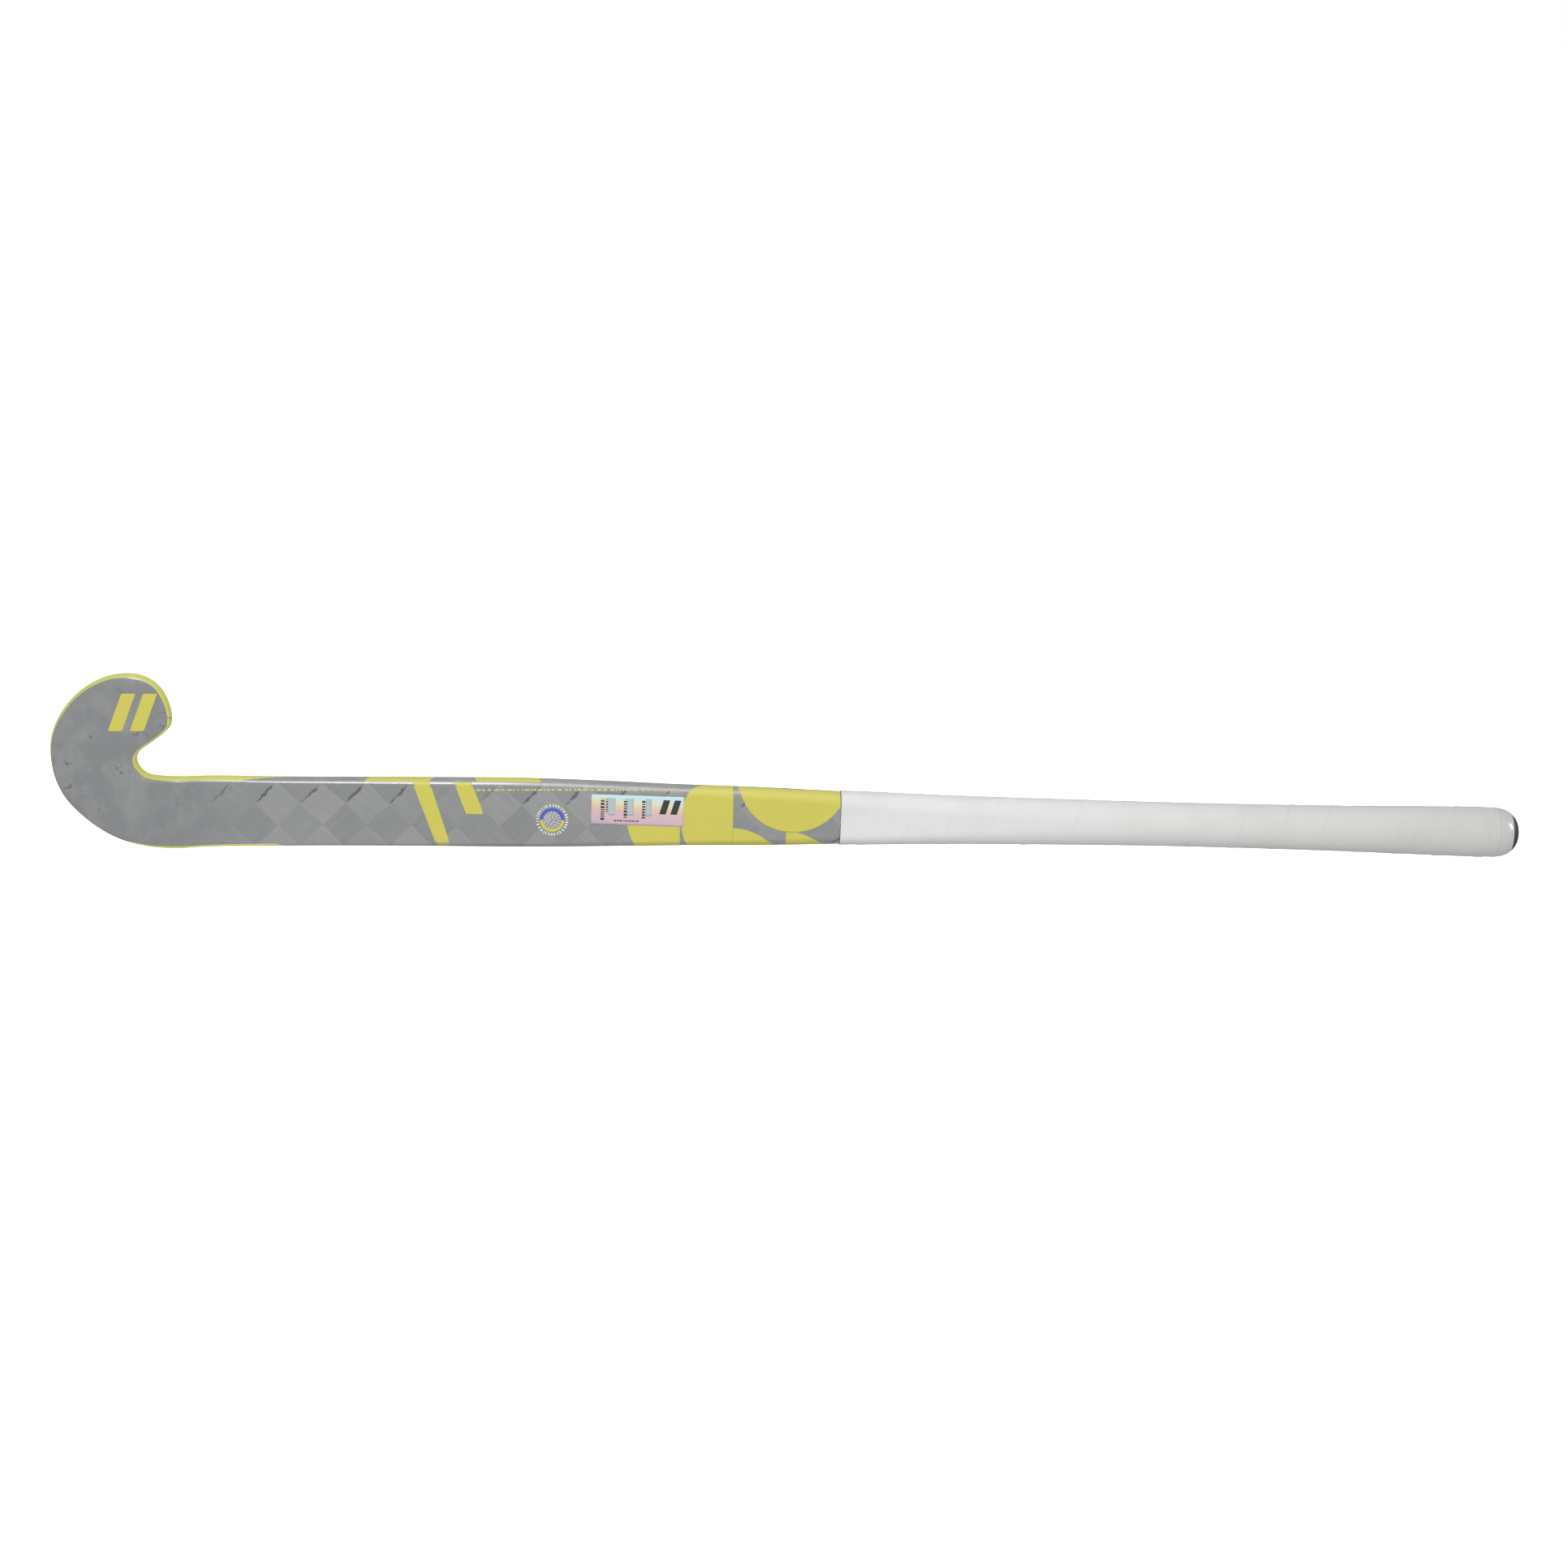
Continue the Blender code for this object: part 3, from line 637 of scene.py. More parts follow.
class SpreadTow(Effect):
    """Plain weave of flat spread carbon tows, laid at 45 degrees to the stick.

    The place is turned by 45 degrees and counted in tow widths. Even squares of the resulting chequer show a
    tow that runs one way and odd squares one that runs the other way. Each square has a tone of its own, and
    fine fibres along its tow. Slits stand open here and there beside the tows.
    """

    name = "spread_tow"
    inputs = {"Place": None, "Origin": None, "Tow Width": 0.0194, "Blur": 0.004, "Slits": 1.0}
    outputs = ("Tone", "Slit", "Height")

    def build(self, b: Board, place: Link, source: bpy.types.bpy_prop_collection) -> dict[str, Link]:
        """Tone is 0 to 1 about a half, Slit is 1 in an open slit, and Height is 0 to 1."""
        waver = b.vector("SUBTRACT", b.noise(place, 38.0, out="Color"), (0.5, 0.5, 0.5))
        waver = b.vector("MULTIPLY", waver, b.join(source["Blur"], source["Blur"]))
        x, y, _ = b.split(b.vector("SUBTRACT", b.vector("ADD", place, waver), source["Origin"]))
        root = math.sqrt(0.5)
        turned = b.add(x, y), b.sub(y, x)
        a, c = (b.math("DIVIDE", b.mul(part, root), source["Tow Width"]) for part in turned)
        col, row, fa, fc = (b.math(how, part) for how in ("FLOOR", "FRACT") for part in (a, c))
        odd = b.math("FLOORED_MODULO", b.add(col, row), 2.0)
        along, across = b.blend(odd, a, c), b.blend(odd, c, a)
        square = b.draw(b.join(b.add(col, 0.5), b.add(row, 0.5), 1.0))
        fibre = b.noise(b.join(b.mul(along, 1.2), b.mul(across, 60.0), odd), 1.0, 3.0)
        streak = b.noise(b.join(b.mul(along, 0.7), b.mul(across, 6.0), odd), 1.0)
        tone = b.mad(odd, 0.24, 0.38)
        for part, span in ((square, 0.40), (fibre, 0.22), (streak, 0.60)):
            tone = b.add(tone, b.mad(part, span, -span / 2))

        gap_a, gap_c = (b.math("MINIMUM", part, b.sub(1.0, part)) for part in (fa, fc))
        line = b.math("ROUND", c)
        even = b.math("COMPARE", b.math("FLOORED_MODULO", b.add(col, line), 2.0), 0.0, 0.1)
        ragged = b.mad(b.noise(place, 260.0, 3.0, 0.6), 0.26, -0.095)
        width = b.mul(ragged, b.math("SINE", b.mul(fa, math.pi)))
        slit = b.stretch(b.sub(gap_c, width), 0.018, 0.002)
        keep = b.sub(b.stretch(y, -0.012, 0.004, 0.25, 0.95), b.draw(b.join(col, line, 7.0)))
        ends = b.stretch(fa, 0.02, 0.12), b.stretch(fa, 0.90, 0.72)
        for share in (even, b.stretch(keep, 0.0, 0.10), *ends, source["Slits"]):
            slit = b.mul(slit, share)
        crown = b.stretch(b.math("MINIMUM", gap_a, gap_c), 0.0, 0.10)
        height = b.sub(b.mad(fibre, 0.12, b.mul(crown, 0.7)), b.mul(slit, 0.5))
        return {"Tone": tone, "Slit": slit, "Height": height}


class Crinkle(Effect):
    """Short, ragged creases in cloth that has been pressed round a bend: they lie where a broad noise passes
    its middle value, wherever a second noise lets them show."""

    name = "crinkle"
    inputs = {"Place": None, "Crease Scale": 42.0}
    outputs = ("Crease", "Wisp")

    def build(self, b: Board, place: Link, source: bpy.types.bpy_prop_collection) -> dict[str, Link]:
        """Crease is 1 in a crease; Wisp is a brushed tone from 0 to 1."""
        broad = b.noise(place, source["Crease Scale"], 3.0, 0.45)
        line = b.stretch(b.math("ABSOLUTE", b.sub(broad, 0.5)), 0.010, 0.001)
        shown = b.stretch(b.noise(b.vector("ADD", place, (0.3, 0.1, 0.0)), 75.0, 1.0), 0.57, 0.66)
        brushed = b.noise(b.vector("MULTIPLY", place, (260.0, 110.0, 110.0)), 1.0, 3.0, 0.6)
        return {"Crease": b.mul(line, shown), "Wisp": brushed}


class Handling(Effect):
    """Traces of use: soft smudges, fine specks of dust and faint scratches along one direction."""

    name = "handling"
    inputs = {"Place": None, "Smudge Scale": 30.0}
    outputs = ("Smudge", "Speck", "Scratch")

    def build(self, b: Board, place: Link, source: bpy.types.bpy_prop_collection) -> dict[str, Link]:
        """All three come out between 0 and 1."""
        fine = b.noise(b.vector("MULTIPLY", place, (60.0, 1400.0, 1400.0)), 1.0, 1.0)
        return {
            "Smudge": b.noise(place, source["Smudge Scale"], 4.0, 0.6),
            "Speck": b.stretch(b.noise(place, 900.0, 1.0), 0.72, 0.80),
            "Scratch": b.mul(b.stretch(fine, 0.68, 0.80), b.stretch(b.noise(place, 22.0), 0.5, 0.7)),
        }


class PebbleGrain(Effect):
    """The closed-cell skin of a soft polymer: shallow pebbles with a finer pore between them."""

    name = "pebble_grain"
    inputs = {"Place": None, "Grain Size": 0.0008}
    outputs = ("Height",)

    def build(self, b: Board, place: Link, source: bpy.types.bpy_prop_collection) -> dict[str, Link]:
        """Height is 0 between the pebbles and 1 on them."""
        scale = b.math("DIVIDE", 1.0, source["Grain Size"])
        cells = b.node("TexVoronoi", {"Vector": place, "Scale": scale}, feature="SMOOTH_F1")
        height = b.sub(1.0, cells.outputs["Distance"])
        return {"Height": b.mad(b.noise(place, scale, 3.0), 0.35, height)}


@dataclass
class Effects:
    """The shared node groups, each built once."""

    weave: SpreadTow = field(default_factory=SpreadTow)
    crinkle: Crinkle = field(default_factory=Crinkle)
    handling: Handling = field(default_factory=Handling)
    grain: PebbleGrain = field(default_factory=PebbleGrain)


Surface = tuple[dict[str, Link], Link]


@dataclass(frozen=True)
class Finish:
    """A Principled material. The sizes that don't change over the surface sit on its own sockets, and bump is
    the height in metres that a relief of 1 stands for."""

    name: str
    colour: Triple
    roughness: float = 0.4
    coat: float = 0.0
    coat_roughness: float = 0.1
    specular: float = 0.5
    bump: float = 0.0001

    def build(self, effects: Effects) -> Material:
        """Makes the material with its plain values, then links what varies."""
        made = bpy.data.materials.new(self.name)
        made.use_nodes = True
        made.diffuse_color = (*self.colour, 1.0)
        board = Board(made.node_tree)
        shader = made.node_tree.nodes["Principled BSDF"]
        plain = {
            "Base Color": self.colour,
            "Roughness": self.roughness,
            "Coat Weight": self.coat,
            "Coat Roughness": self.coat_roughness,
            "Specular IOR Level": self.specular,
        }
        varied, relief = self.surface(board, board.node("TexCoord").outputs["Object"], effects)
        bump = board.node("Bump", {"Height": relief, "Distance": self.bump, "Strength": 1.0})
        for key, value in (*plain.items(), *varied.items(), ("Normal", bump.outputs["Normal"])):
            board.put(shader.inputs[key], value)
        return made

    def surface(self, b: Board, place: Link, effects: Effects) -> Surface:
        """What varies over the surface.

        Args:
            b: the material's board.
            place: its Object coordinates.
            effects: the shared effects.

        Returns:
            Links by the shader's input names, and the relief from 0 to 1.
        """
        raise NotImplementedError


@dataclass(frozen=True)
class Laminate(Finish):
    """Grey-tinted clear lacquer over spread carbon, with a painted back and rim on the head."""

    paint: Triple = (0.66, 0.68, 0.11)
    dark: Triple = (0.205, 0.212, 0.218)
    light: Triple = (0.305, 0.309, 0.306)
    slit_colour: Triple = (0.07, 0.075, 0.08)
    weave_origin: Triple = (0.01317, 0.00672, 0.0)

    def surface(self, b: Board, place: Link, effects: Effects) -> Surface:
        """The paint's share is read from the paint_gap number, 0 being the masking line, and the order number
        says how evenly the cloth lies."""
        cloth = b.node("UVMap", uv_map="cloth").outputs["UV"]
        weave = effects.weave.use(b, Place=cloth, Origin=self.weave_origin)
        wear = effects.handling.use(b, Place=place, Smudge_Scale=42.0)
        crinkle = effects.crinkle.use(b, Place=cloth)
        order = b.read("order")
        cloudy = b.mad(b.stretch(b.noise(place, 55.0, 3.0), 0.25, 0.75), 0.62, -0.12)
        cloudy = b.add(cloudy, b.mad(crinkle["Wisp"], 0.7, -0.35))
        even = b.blend(order, cloudy, weave["Tone"])
        tone = b.mad(wear["Smudge"], 0.5, b.sub(even, 0.25), clamp=True)
        creased = b.mul(crinkle["Crease"], b.mad(order, -0.65, 0.75))
        slit = b.math("MAXIMUM", b.mul(weave["Slit"], order), creased)
        woven = b.mix(b.mul(slit, 0.8), b.mix(tone, self.dark, self.light), self.slit_colour)
        painted = b.stretch(b.read("paint_gap"), -0.00012, 0.00012)
        paint = b.tint(self.paint, b.mad(wear["Smudge"], 0.16, 0.92))
        rough = b.mad(wear["Smudge"], 0.16, self.roughness - 0.08)
        varied = {
            "Coat Weight": b.mad(painted, -0.85 * self.coat, self.coat),
            "Base Color": b.mix(painted, woven, paint),
            "Roughness": b.add(rough, b.mul(wear["Scratch"], 0.12)),
        }
        return varied, b.mul(weave["Height"], b.mad(order, 0.5, 0.5))


@dataclass(frozen=True)
class Ink(Finish):
    """Screen-printed ink under the lacquer: nearly even, with faint pinholes and a soft mottle."""

    bump: float = 0.000003
    mottle: float = 0.10

    def surface(self, b: Board, place: Link, effects: Effects) -> Surface:
        """The mottle changes the colour's strength and the roughness."""
        wear = effects.handling.use(b, Place=place, Smudge_Scale=60.0)
        gain = b.mad(wear["Smudge"], self.mottle, 1.0 - self.mottle / 2)
        gain = b.sub(gain, b.mul(wear["Speck"], 0.06))
        rough = b.mad(wear["Smudge"], 0.16, self.roughness - 0.08)
        return {"Base Color": b.tint(self.colour, gain), "Roughness": rough}, wear["Smudge"]


@dataclass(frozen=True)
class SoftPolymer(Finish):
    """Polyurethane tape or moulded rubber: pebbled, with handling marks. On a wound tape, falloff_from and
    falloff_to are the stations between which painted shade darkens the tape towards the butt, and falloff_shade is
    how far; seam_shade is how strongly painted shade darkens its seams."""

    grain: float = 0.0008
    shade: Triple = (0.6, 0.6, 0.57)
    marks: float = 0.25
    seam_shade: float = 0.0
    falloff_from: float = -0.30
    falloff_to: float = 0.06
    falloff_shade: float = 0.65

    def surface(self, b: Board, place: Link, effects: Effects) -> Surface:
        """The shade colour shows in the smudges and dust specks; on a tape with seams it is also painted shade
        along the seams and towards the butt.
        """
        wear = effects.handling.use(b, Place=place, Smudge_Scale=26.0)
        dirt_and_shade = b.mul(b.stretch(wear["Smudge"], 0.42, 0.75), self.marks)
        dirt_and_shade = b.add(dirt_and_shade, b.mul(wear["Speck"], 0.10), clamp=True)
        if self.seam_shade:
            # painted shade along the tape's seams, where the step between turns would cast shade
            dirt_and_shade = b.math("MAXIMUM", dirt_and_shade, b.mul(b.read("seam"), self.seam_shade))
            # painted shade: the tape darkens towards the butt, standing in for the light falling off there
            falloff_shade = b.stretch(b.split(place)[0], self.falloff_from, self.falloff_to, 0.0, self.falloff_shade)
            dirt_and_shade = b.add(dirt_and_shade, falloff_shade, clamp=True)
        rough = b.mad(wear["Smudge"], 0.2, self.roughness - 0.1)
        pebbles = effects.grain.use(b, Place=place, Grain_Size=self.grain)["Height"]
        return {"Base Color": b.mix(dirt_and_shade, self.colour, self.shade), "Roughness": rough}, pebbles


@dataclass(frozen=True)
class Iridescent(Finish):
    """Holographic film: its hue drifts from cool at the toe's side to pink at the heel's."""

    stops: tuple[tuple[float, Triple], ...] = (
        (0.00, (0.53, 0.41, 0.50)),
        (0.25, (0.66, 0.48, 0.55)),
        (0.50, (0.72, 0.50, 0.48)),
        (0.68, (0.78, 0.62, 0.42)),
        (0.82, (0.77, 0.76, 0.52)),
        (0.94, (0.62, 0.80, 0.76)),
        (1.00, (0.62, 0.80, 0.84)),
    )

    def surface(self, b: Board, place: Link, effects: Effects) -> Surface:
        """The drift reads the label's own map, with a slight waver along its length."""
        u, v, _ = b.split(b.node("UVMap", uv_map="film").outputs["UV"])
        waver = b.mad(b.noise(place, 45.0, 1.0), 0.16, -0.08)
        ramp = b.node("ValToRGB", {"Fac": b.add(b.mad(u, 0.16, v), waver)})
        elements = ramp.color_ramp.elements
        for spare in list(elements)[1:]:
            elements.remove(spare)
        for at, colour in self.stops:
            stop = elements.new(at) if at > 0 else elements[0]
            stop.position, stop.color = at, (*colour, 1.0)
        wear = effects.handling.use(b, Place=place, Smudge_Scale=90.0)["Smudge"]
        hue = b.tint(ramp.outputs["Color"], b.mad(wear, 0.10, 0.90))
        return {"Base Color": hue, "Roughness": b.mad(wear, 0.12, self.roughness)}, wear


@dataclass(frozen=True)
class Cloth(Finish):
    """An unpainted woven layer inside the stick: bare carbon or resin-wetted aramid."""

    second: Triple = (0.02, 0.02, 0.02)
    tow: float = 0.002

    def surface(self, b: Board, place: Link, effects: Effects) -> Surface:
        """The weave lies in the plane along and across the stick."""
        x, y, z = b.split(place)
        weave = effects.weave.use(b, Place=b.join(x, b.add(z, y)), Tow_Width=self.tow, Blur=0.0003, Slits=0.0)
        rough = b.mad(weave["Tone"], 0.2, self.roughness - 0.1)
        return {"Base Color": b.mix(weave["Tone"], self.colour, self.second), "Roughness": rough}, weave["Height"]


# Sub-assemblies


@dataclass
class LaminateShell:
    """The moulded laminate, from the toe's tip to the butt, with its woven cloth and painted head."""

    form: StickForm
    grip_start: float = 0.4896
    shell_end: float = 0.9140
    seat: float = 0.0015
    seat_lead: float = 0.0003
    head_rings: int = 150
    head_crowding: float = 1.2
    ring_step: float = 0.002
    handle_step: float = 0.004
    head_reach: float = 0.01
    full_wall_at: float = 0.016
    wall_steps: int = 25
    toe_line: tuple[Pair, ...] = ((-1.0, 0.05), (0.1, 0.05), (0.8, 1.3), (1.0, 1.5))
    heel_line: tuple[Pair, ...] = (
        (-1.0, -0.35), (-0.96, 0.0), (-0.93, 0.9), (-0.85, 2.5), (-0.35, 2.5), (0.0, 0.7), (0.6, 0.7), (1.0, 1.5),
    )
    fade_start: Pair = (0.114, 0.136)
    fade_rate: float = 0.38
    paint_end: float = 0.198
    cloth_settles: Pair = (0.075, 0.125)

    def knot(self, station: float) -> float:
        """The knot of the rib at one station."""
        return float(self.form.knot_at(np.array([station]))[0])

    def ribs(self) -> tuple[Array, Array]:
        """Knots and insets of all the ribs, from the toe to the butt."""
        start, stepped = self.form.shaft_start, self.grip_start - self.seat_lead
        head = self.knot(start) * np.linspace(0, 1, self.head_rings + 1)[1:] ** self.head_crowding
        shaft = np.linspace(start, stepped, int((self.grip_start - start) / self.ring_step))[1:]
        count = int((self.shell_end - self.grip_start) / self.handle_step)
        handle = np.linspace(stepped, self.shell_end, count)
        knots = np.concatenate([head, self.form.knot_at(shaft), self.form.knot_at(handle)])
        return knots, np.repeat([0.0, self.seat], [len(head) + len(shaft), count])

    def build(self, finish: Material, bare: Material) -> None:
        """Builds the laminate as ribs, with bare on its wall's inner side.

        The cloth's map carries on straight past the face's edge: a point's place on it is its rib's middle,
        plus the distance along the rib's surface in the rib's own direction.
        """
        grid = RibGrid(self.form)
        knots, inset = self.ribs()
        head = knots <= self.knot(self.form.shaft_start + self.head_reach)
        parts = [grid.drawn(knots[m], inset[m], exact) for m, exact in ((head, True), (~head, False))]
        drawn, reach = (np.concatenate(part) for part in zip(*parts))
        rows, columns = drawn.shape[:2]
        middle = columns // 2
        around = running_length(drawn)
        across = self.form.edge(knots) - self.form.edge(-knots)
        across /= np.linalg.norm(across, axis=1)[:, None]
        signed = around - around[:, middle : middle + 1]
        cloth = drawn[:, middle][:, None, [0, 2]] + signed[..., None] * across[:, None]
        ring = drawn[:, :-1]
        mesh = make_mesh("laminate_shell", self.form.bend(ring), grid_faces(rows, columns - 1, True))
        add_uv(mesh, "cloth", np.stack([cloth[:-1, :-1], cloth[:-1, 1:], cloth[1:, 1:], cloth[1:, :-1]], 2))
        gap = self.paint_gap(drawn, reach, around, grid.back_steps, knots)
        add_value(mesh, "paint_gap", gap[:, :-1])
        add_value(mesh, "order", smooth_step(*self.cloth_settles, ring[..., 0]))
        tip = self.form.bend(self.form.toe_tip)
        self.close_toe(mesh, columns - 1, tip)
        made = add_piece(mesh, finish, ("outer_shell",), 50.0, self.form.wall, bare)
        self.thin_toe(made, tip)

    def thin_toe(self, piece: Object, tip: Array) -> None:
        """Lets the wall grow from nearly nothing at the toe's pole to its full thickness 16 mm away."""
        group = piece.vertex_groups.new(name="wall_share")
        places = np.zeros(len(piece.data.vertices) * 3, np.float32)
        piece.data.vertices.foreach_get("co", places)
        away = np.linalg.norm(places.reshape(-1, 3) - tip, axis=1)
        share = np.ceil(np.clip(away / self.full_wall_at, 0.02, 1.0) * self.wall_steps) / self.wall_steps
        for step in np.unique(share):
            group.add(np.flatnonzero(share == step).tolist(), float(step), "REPLACE")
        piece.modifiers["wall"].vertex_group = group.name

    def rise(self, knots: Array) -> Array:
        """How much the edge faces upwards at these knots, from -1 to 1."""
        return (self.form.edge(knots)[:, 1] - self.form.edge(knots, MM)[:, 1]) / MM

    def paint_gap(self, drawn: Array, reach: Array, around: Array, first: int, knots: Array) -> Array:
        """How far each point lies behind the masking line, along the surface from where the face rounds.

        The line runs just behind the face along the edge's underside and further back along its upper side.
        From fade_start on it draws back steadily, until the paint ends on the back.

        Args:
            drawn: the ribs' points.
            reach: their distances from the edge.
            around: their distances along the ribs.
            first: the column of the toe-side edge.
            knots: the ribs' knots.

        Returns:
            The gap in metres, positive in the paint.
        """
        columns = drawn.shape[1]
        middle = columns // 2
        corner = self.form.section(drawn[:, middle, 0])[2]
        toe_side, heel_side = slice(first, middle + 1), slice(columns - 1 - first, middle - 1, -1)
        gaps = []
        for side, sign, table, fade in (
            (toe_side, -1, self.toe_line, self.fade_start[0]),
            (heel_side, 1, self.heel_line, self.fade_start[1]),
        ):
            starts = np.array([np.interp(c, r[side], a[side]) for c, r, a in zip(corner, reach, around)])
            line = np.interp(self.rise(sign * knots), *np.array(table).T)[:, None] * MM
            line = line + np.maximum(drawn[..., 0] - fade, 0) * self.fade_rate
            gaps.append(sign * (around - starts[:, None]) - line)
        gap = np.where(np.arange(columns)[None] <= middle, *gaps)
        return np.minimum(gap, self.paint_end - drawn[..., 0])

    def close_toe(self, mesh: Mesh, columns: int, tip: Array) -> None:
        """Closes the first rib at the toe's tip with a fan of triangles, all of them in the paint."""
        station, _, height = self.form.toe_tip
        with editing(mesh) as shape:
            uv = shape.loops.layers.uv["cloth"]
            ring = shape.verts[:columns]
            pole = shape.verts.new(tip)
            pole[shape.verts.layers.float["paint_gap"]] = 0.01
            for k in range(columns):
                face = shape.faces.new((pole, ring[(k + 1) % columns], ring[k]))
                for loop in face.loops:
                    loop[uv].uv = (station, height)


def arc(centre: Pair, radius: float, start: float, end: float, count: int = 48) -> Array:
    """Points on a circle between two angles in degrees, counted from the station's direction."""
    turn = np.radians(np.linspace(start, end, count))
    return np.stack([centre[0] + radius * np.cos(turn), centre[1] + radius * np.sin(turn)], 1)


@dataclass(frozen=True)
class Print:
    """One printed shape between two chains of points, each from the lower station to the higher. Points are
    a station and a girth in millimetres."""

    low: tuple[Pair, ...] | Array
    high: tuple[Pair, ...] | Array

    def places(self, skin: Skin, pitch: float) -> tuple[Array, Array]:
        """A grid of stations and girths in metres, about pitch apart, kept off the back's middle line."""
        low, high = np.array(self.low) * MM, np.array(self.high) * MM
        start, end = max(low[0, 0], high[0, 0]), min(low[-1, 0], high[-1, 0])
        knots = np.concatenate([low[:, 0], high[:, 0]])
        even = np.linspace(start, end, max(2, int((end - start) / pitch) + 1))
        station = np.unique(np.concatenate([even, knots[(knots >= start) & (knots <= end)]]).round(7))
        limit = skin.half_girth_at(station) - 0.0001
        bottom = np.maximum(np.interp(station, low[:, 0], low[:, 1]), -limit)
        top = np.minimum(np.interp(station, high[:, 0], high[:, 1]), limit)
        share = np.linspace(0, 1, max(2, int((top - bottom).max() / pitch) + 1))[None]
        girth = bottom[:, None] + share * (top - bottom)[:, None]
        return np.broadcast_to(station[:, None], girth.shape), girth


def slanted(start: float, end: float, low: float, high: float, shear: float) -> Print:
    """A block from start to end at its low side, its high side moved along by shear."""
    a, b, c, d = (start, low), (end, low), (end + shear, high), (start + shear, high)
    return Print((a, b, c), (a, d, c)) if shear >= 0 else Print((d, a, b), (d, c, b))


@dataclass
class Graphics:
    """The printed graphics on the shaft and head, as thin films on the laminate. The head's bars are in
    metres; disc and back are the discs' radius and a girth past the back's middle, in millimetres."""

    form: StickForm
    skin: Skin
    lift: float = 0.00005
    film: float = 0.00004
    pitch: float = 0.0007
    weld: float = 2e-6
    disc: float = 35.0
    back: float = 60.0
    head_bar_starts: Pair = (0.0350, 0.0480)
    head_bar_heights: Pair = (0.052, 0.0755)
    head_bar_lean: float = 0.0085
    head_bar_width: float = 0.0085
    centre: Pair = (0.3069, -0.0026)

    def film_piece(self, name: str, patches: list[Array], finish: Material, wound: bool = False) -> None:
        """One piece from several grids of points; wound ones run on round the shaft and so face outwards by
        their own order, the others are turned to face forwards."""
        mesh = patch_mesh(name, patches, wound)
        clean(mesh, self.weld)
        if not wound:
            face_forward(mesh)
        add_piece(mesh, finish, sharp=None, wall=self.film)

    def printed(self, name: str, prints: list[Print], finish: Material, layers: int = 1) -> None:
        """One piece from several shapes of one colour, the film lying over so many layers."""
        patches = [self.skin.at(*shape.places(self.skin, self.pitch), self.lift * layers) for shape in prints]
        self.film_piece(name, patches, finish, wound=True)

    def discs(self) -> list[Print]:
        """The large discs and half discs beside the grip, which run on round the back."""
        r, far = self.disc, self.back
        first, second, third, fourth, fifth = (389, 0), (423, -1), (421, -41), (459, 27), (455, -42.5)
        upper = ((388.0, -1.0), *map(tuple, arc(second, r, 179, 93)[:-1]), (421.2, 34.0))
        return [
            Print(arc(first, r, 180, 268), ((354.0, -3.0), (387.8, -3.0))),
            Print(arc(second, r, 180, 267), upper),
            Print(((421.2, -far), (456.0, -far)), arc(third, r, 90, 1)),
            Print(arc(fourth, r, 180, 330), np.concatenate([arc(fourth, r, 180, 91), [[489.4, far + 10]]])),
            Print(((455.0, -far), (489.4, -far)), arc(fifth, r, 90, 10)),
        ]

    def bars(self) -> list[Print]:
        """A long and a short slanted bar across the face, and the blocks on the toe's side above them."""
        return [
            Print(((219.0, 21.6), (236.0, -23.5), (246.0, -31.0)), ((219.0, 21.6), (230.0, 21.6), (247.0, -31.0))),
            Print(((245.0, 21.6), (253.0, 0.5), (263.5, 0.5)), ((245.0, 21.6), (256.0, 21.6), (264.0, 0.5))),
            slanted(190.0, 230.0, 21.6, 38.0, 5.0),
            slanted(259.5, 300.0, 22.6, 38.0, -4.0),
        ]

    def dashes(self) -> list[Print]:
        """A fine row of dashes along the face's toe side, of uneven lengths."""
        rng = np.random.default_rng(7)
        start = at = 259.0
        made = []
        while at < 389.0:
            length = float(rng.choice([1.1, 1.5, 2.2, 3.0]))
            middle = 15.9 + (at - start) * 0.0172
            sides = (middle - 0.65, middle + 0.65)
            made.append(Print(*(((at, side), (at + length, side)) for side in sides)))
            at += length + float(rng.choice([0.5, 0.6, 1.6]))
        return made

    def head_bars(self, finish: Material) -> None:
        """Two slanted bars on the head's face, as sheets just in front of the flat."""
        low, high = self.head_bar_heights
        a, c = np.meshgrid(np.linspace(0, 1, 13), np.linspace(0, 1, 29), indexing="ij")
        patches = []
        for start in self.head_bar_starts:
            station = start + a * self.head_bar_width + c * self.head_bar_lean
            drawn = np.stack([station, np.full_like(station, -self.lift), low + c * (high - low)], -1)
            patches.append(self.form.bend(drawn))
        self.film_piece("head_bars", patches, finish)

    def roundel(self, name: str, finish: Material, rings: list[tuple[float, ...]]) -> None:
        """Ring segments about one centre on the face: the inner and outer radius in millimetres, and the
        start and end angle in degrees, of each."""
        patches = []
        for inner, outer, start, end in rings:
            turn = np.radians(np.linspace(start, end, max(3, int(abs(end - start) / 4) + 1)))
            r, t = np.meshgrid(np.linspace(inner, outer, 5) * MM, turn, indexing="ij")
            station, girth = self.centre[0] + r * np.cos(t), self.centre[1] + r * np.sin(t)
            patches.append(self.skin.at(station, girth, self.lift))
        self.film_piece(name, patches, finish)

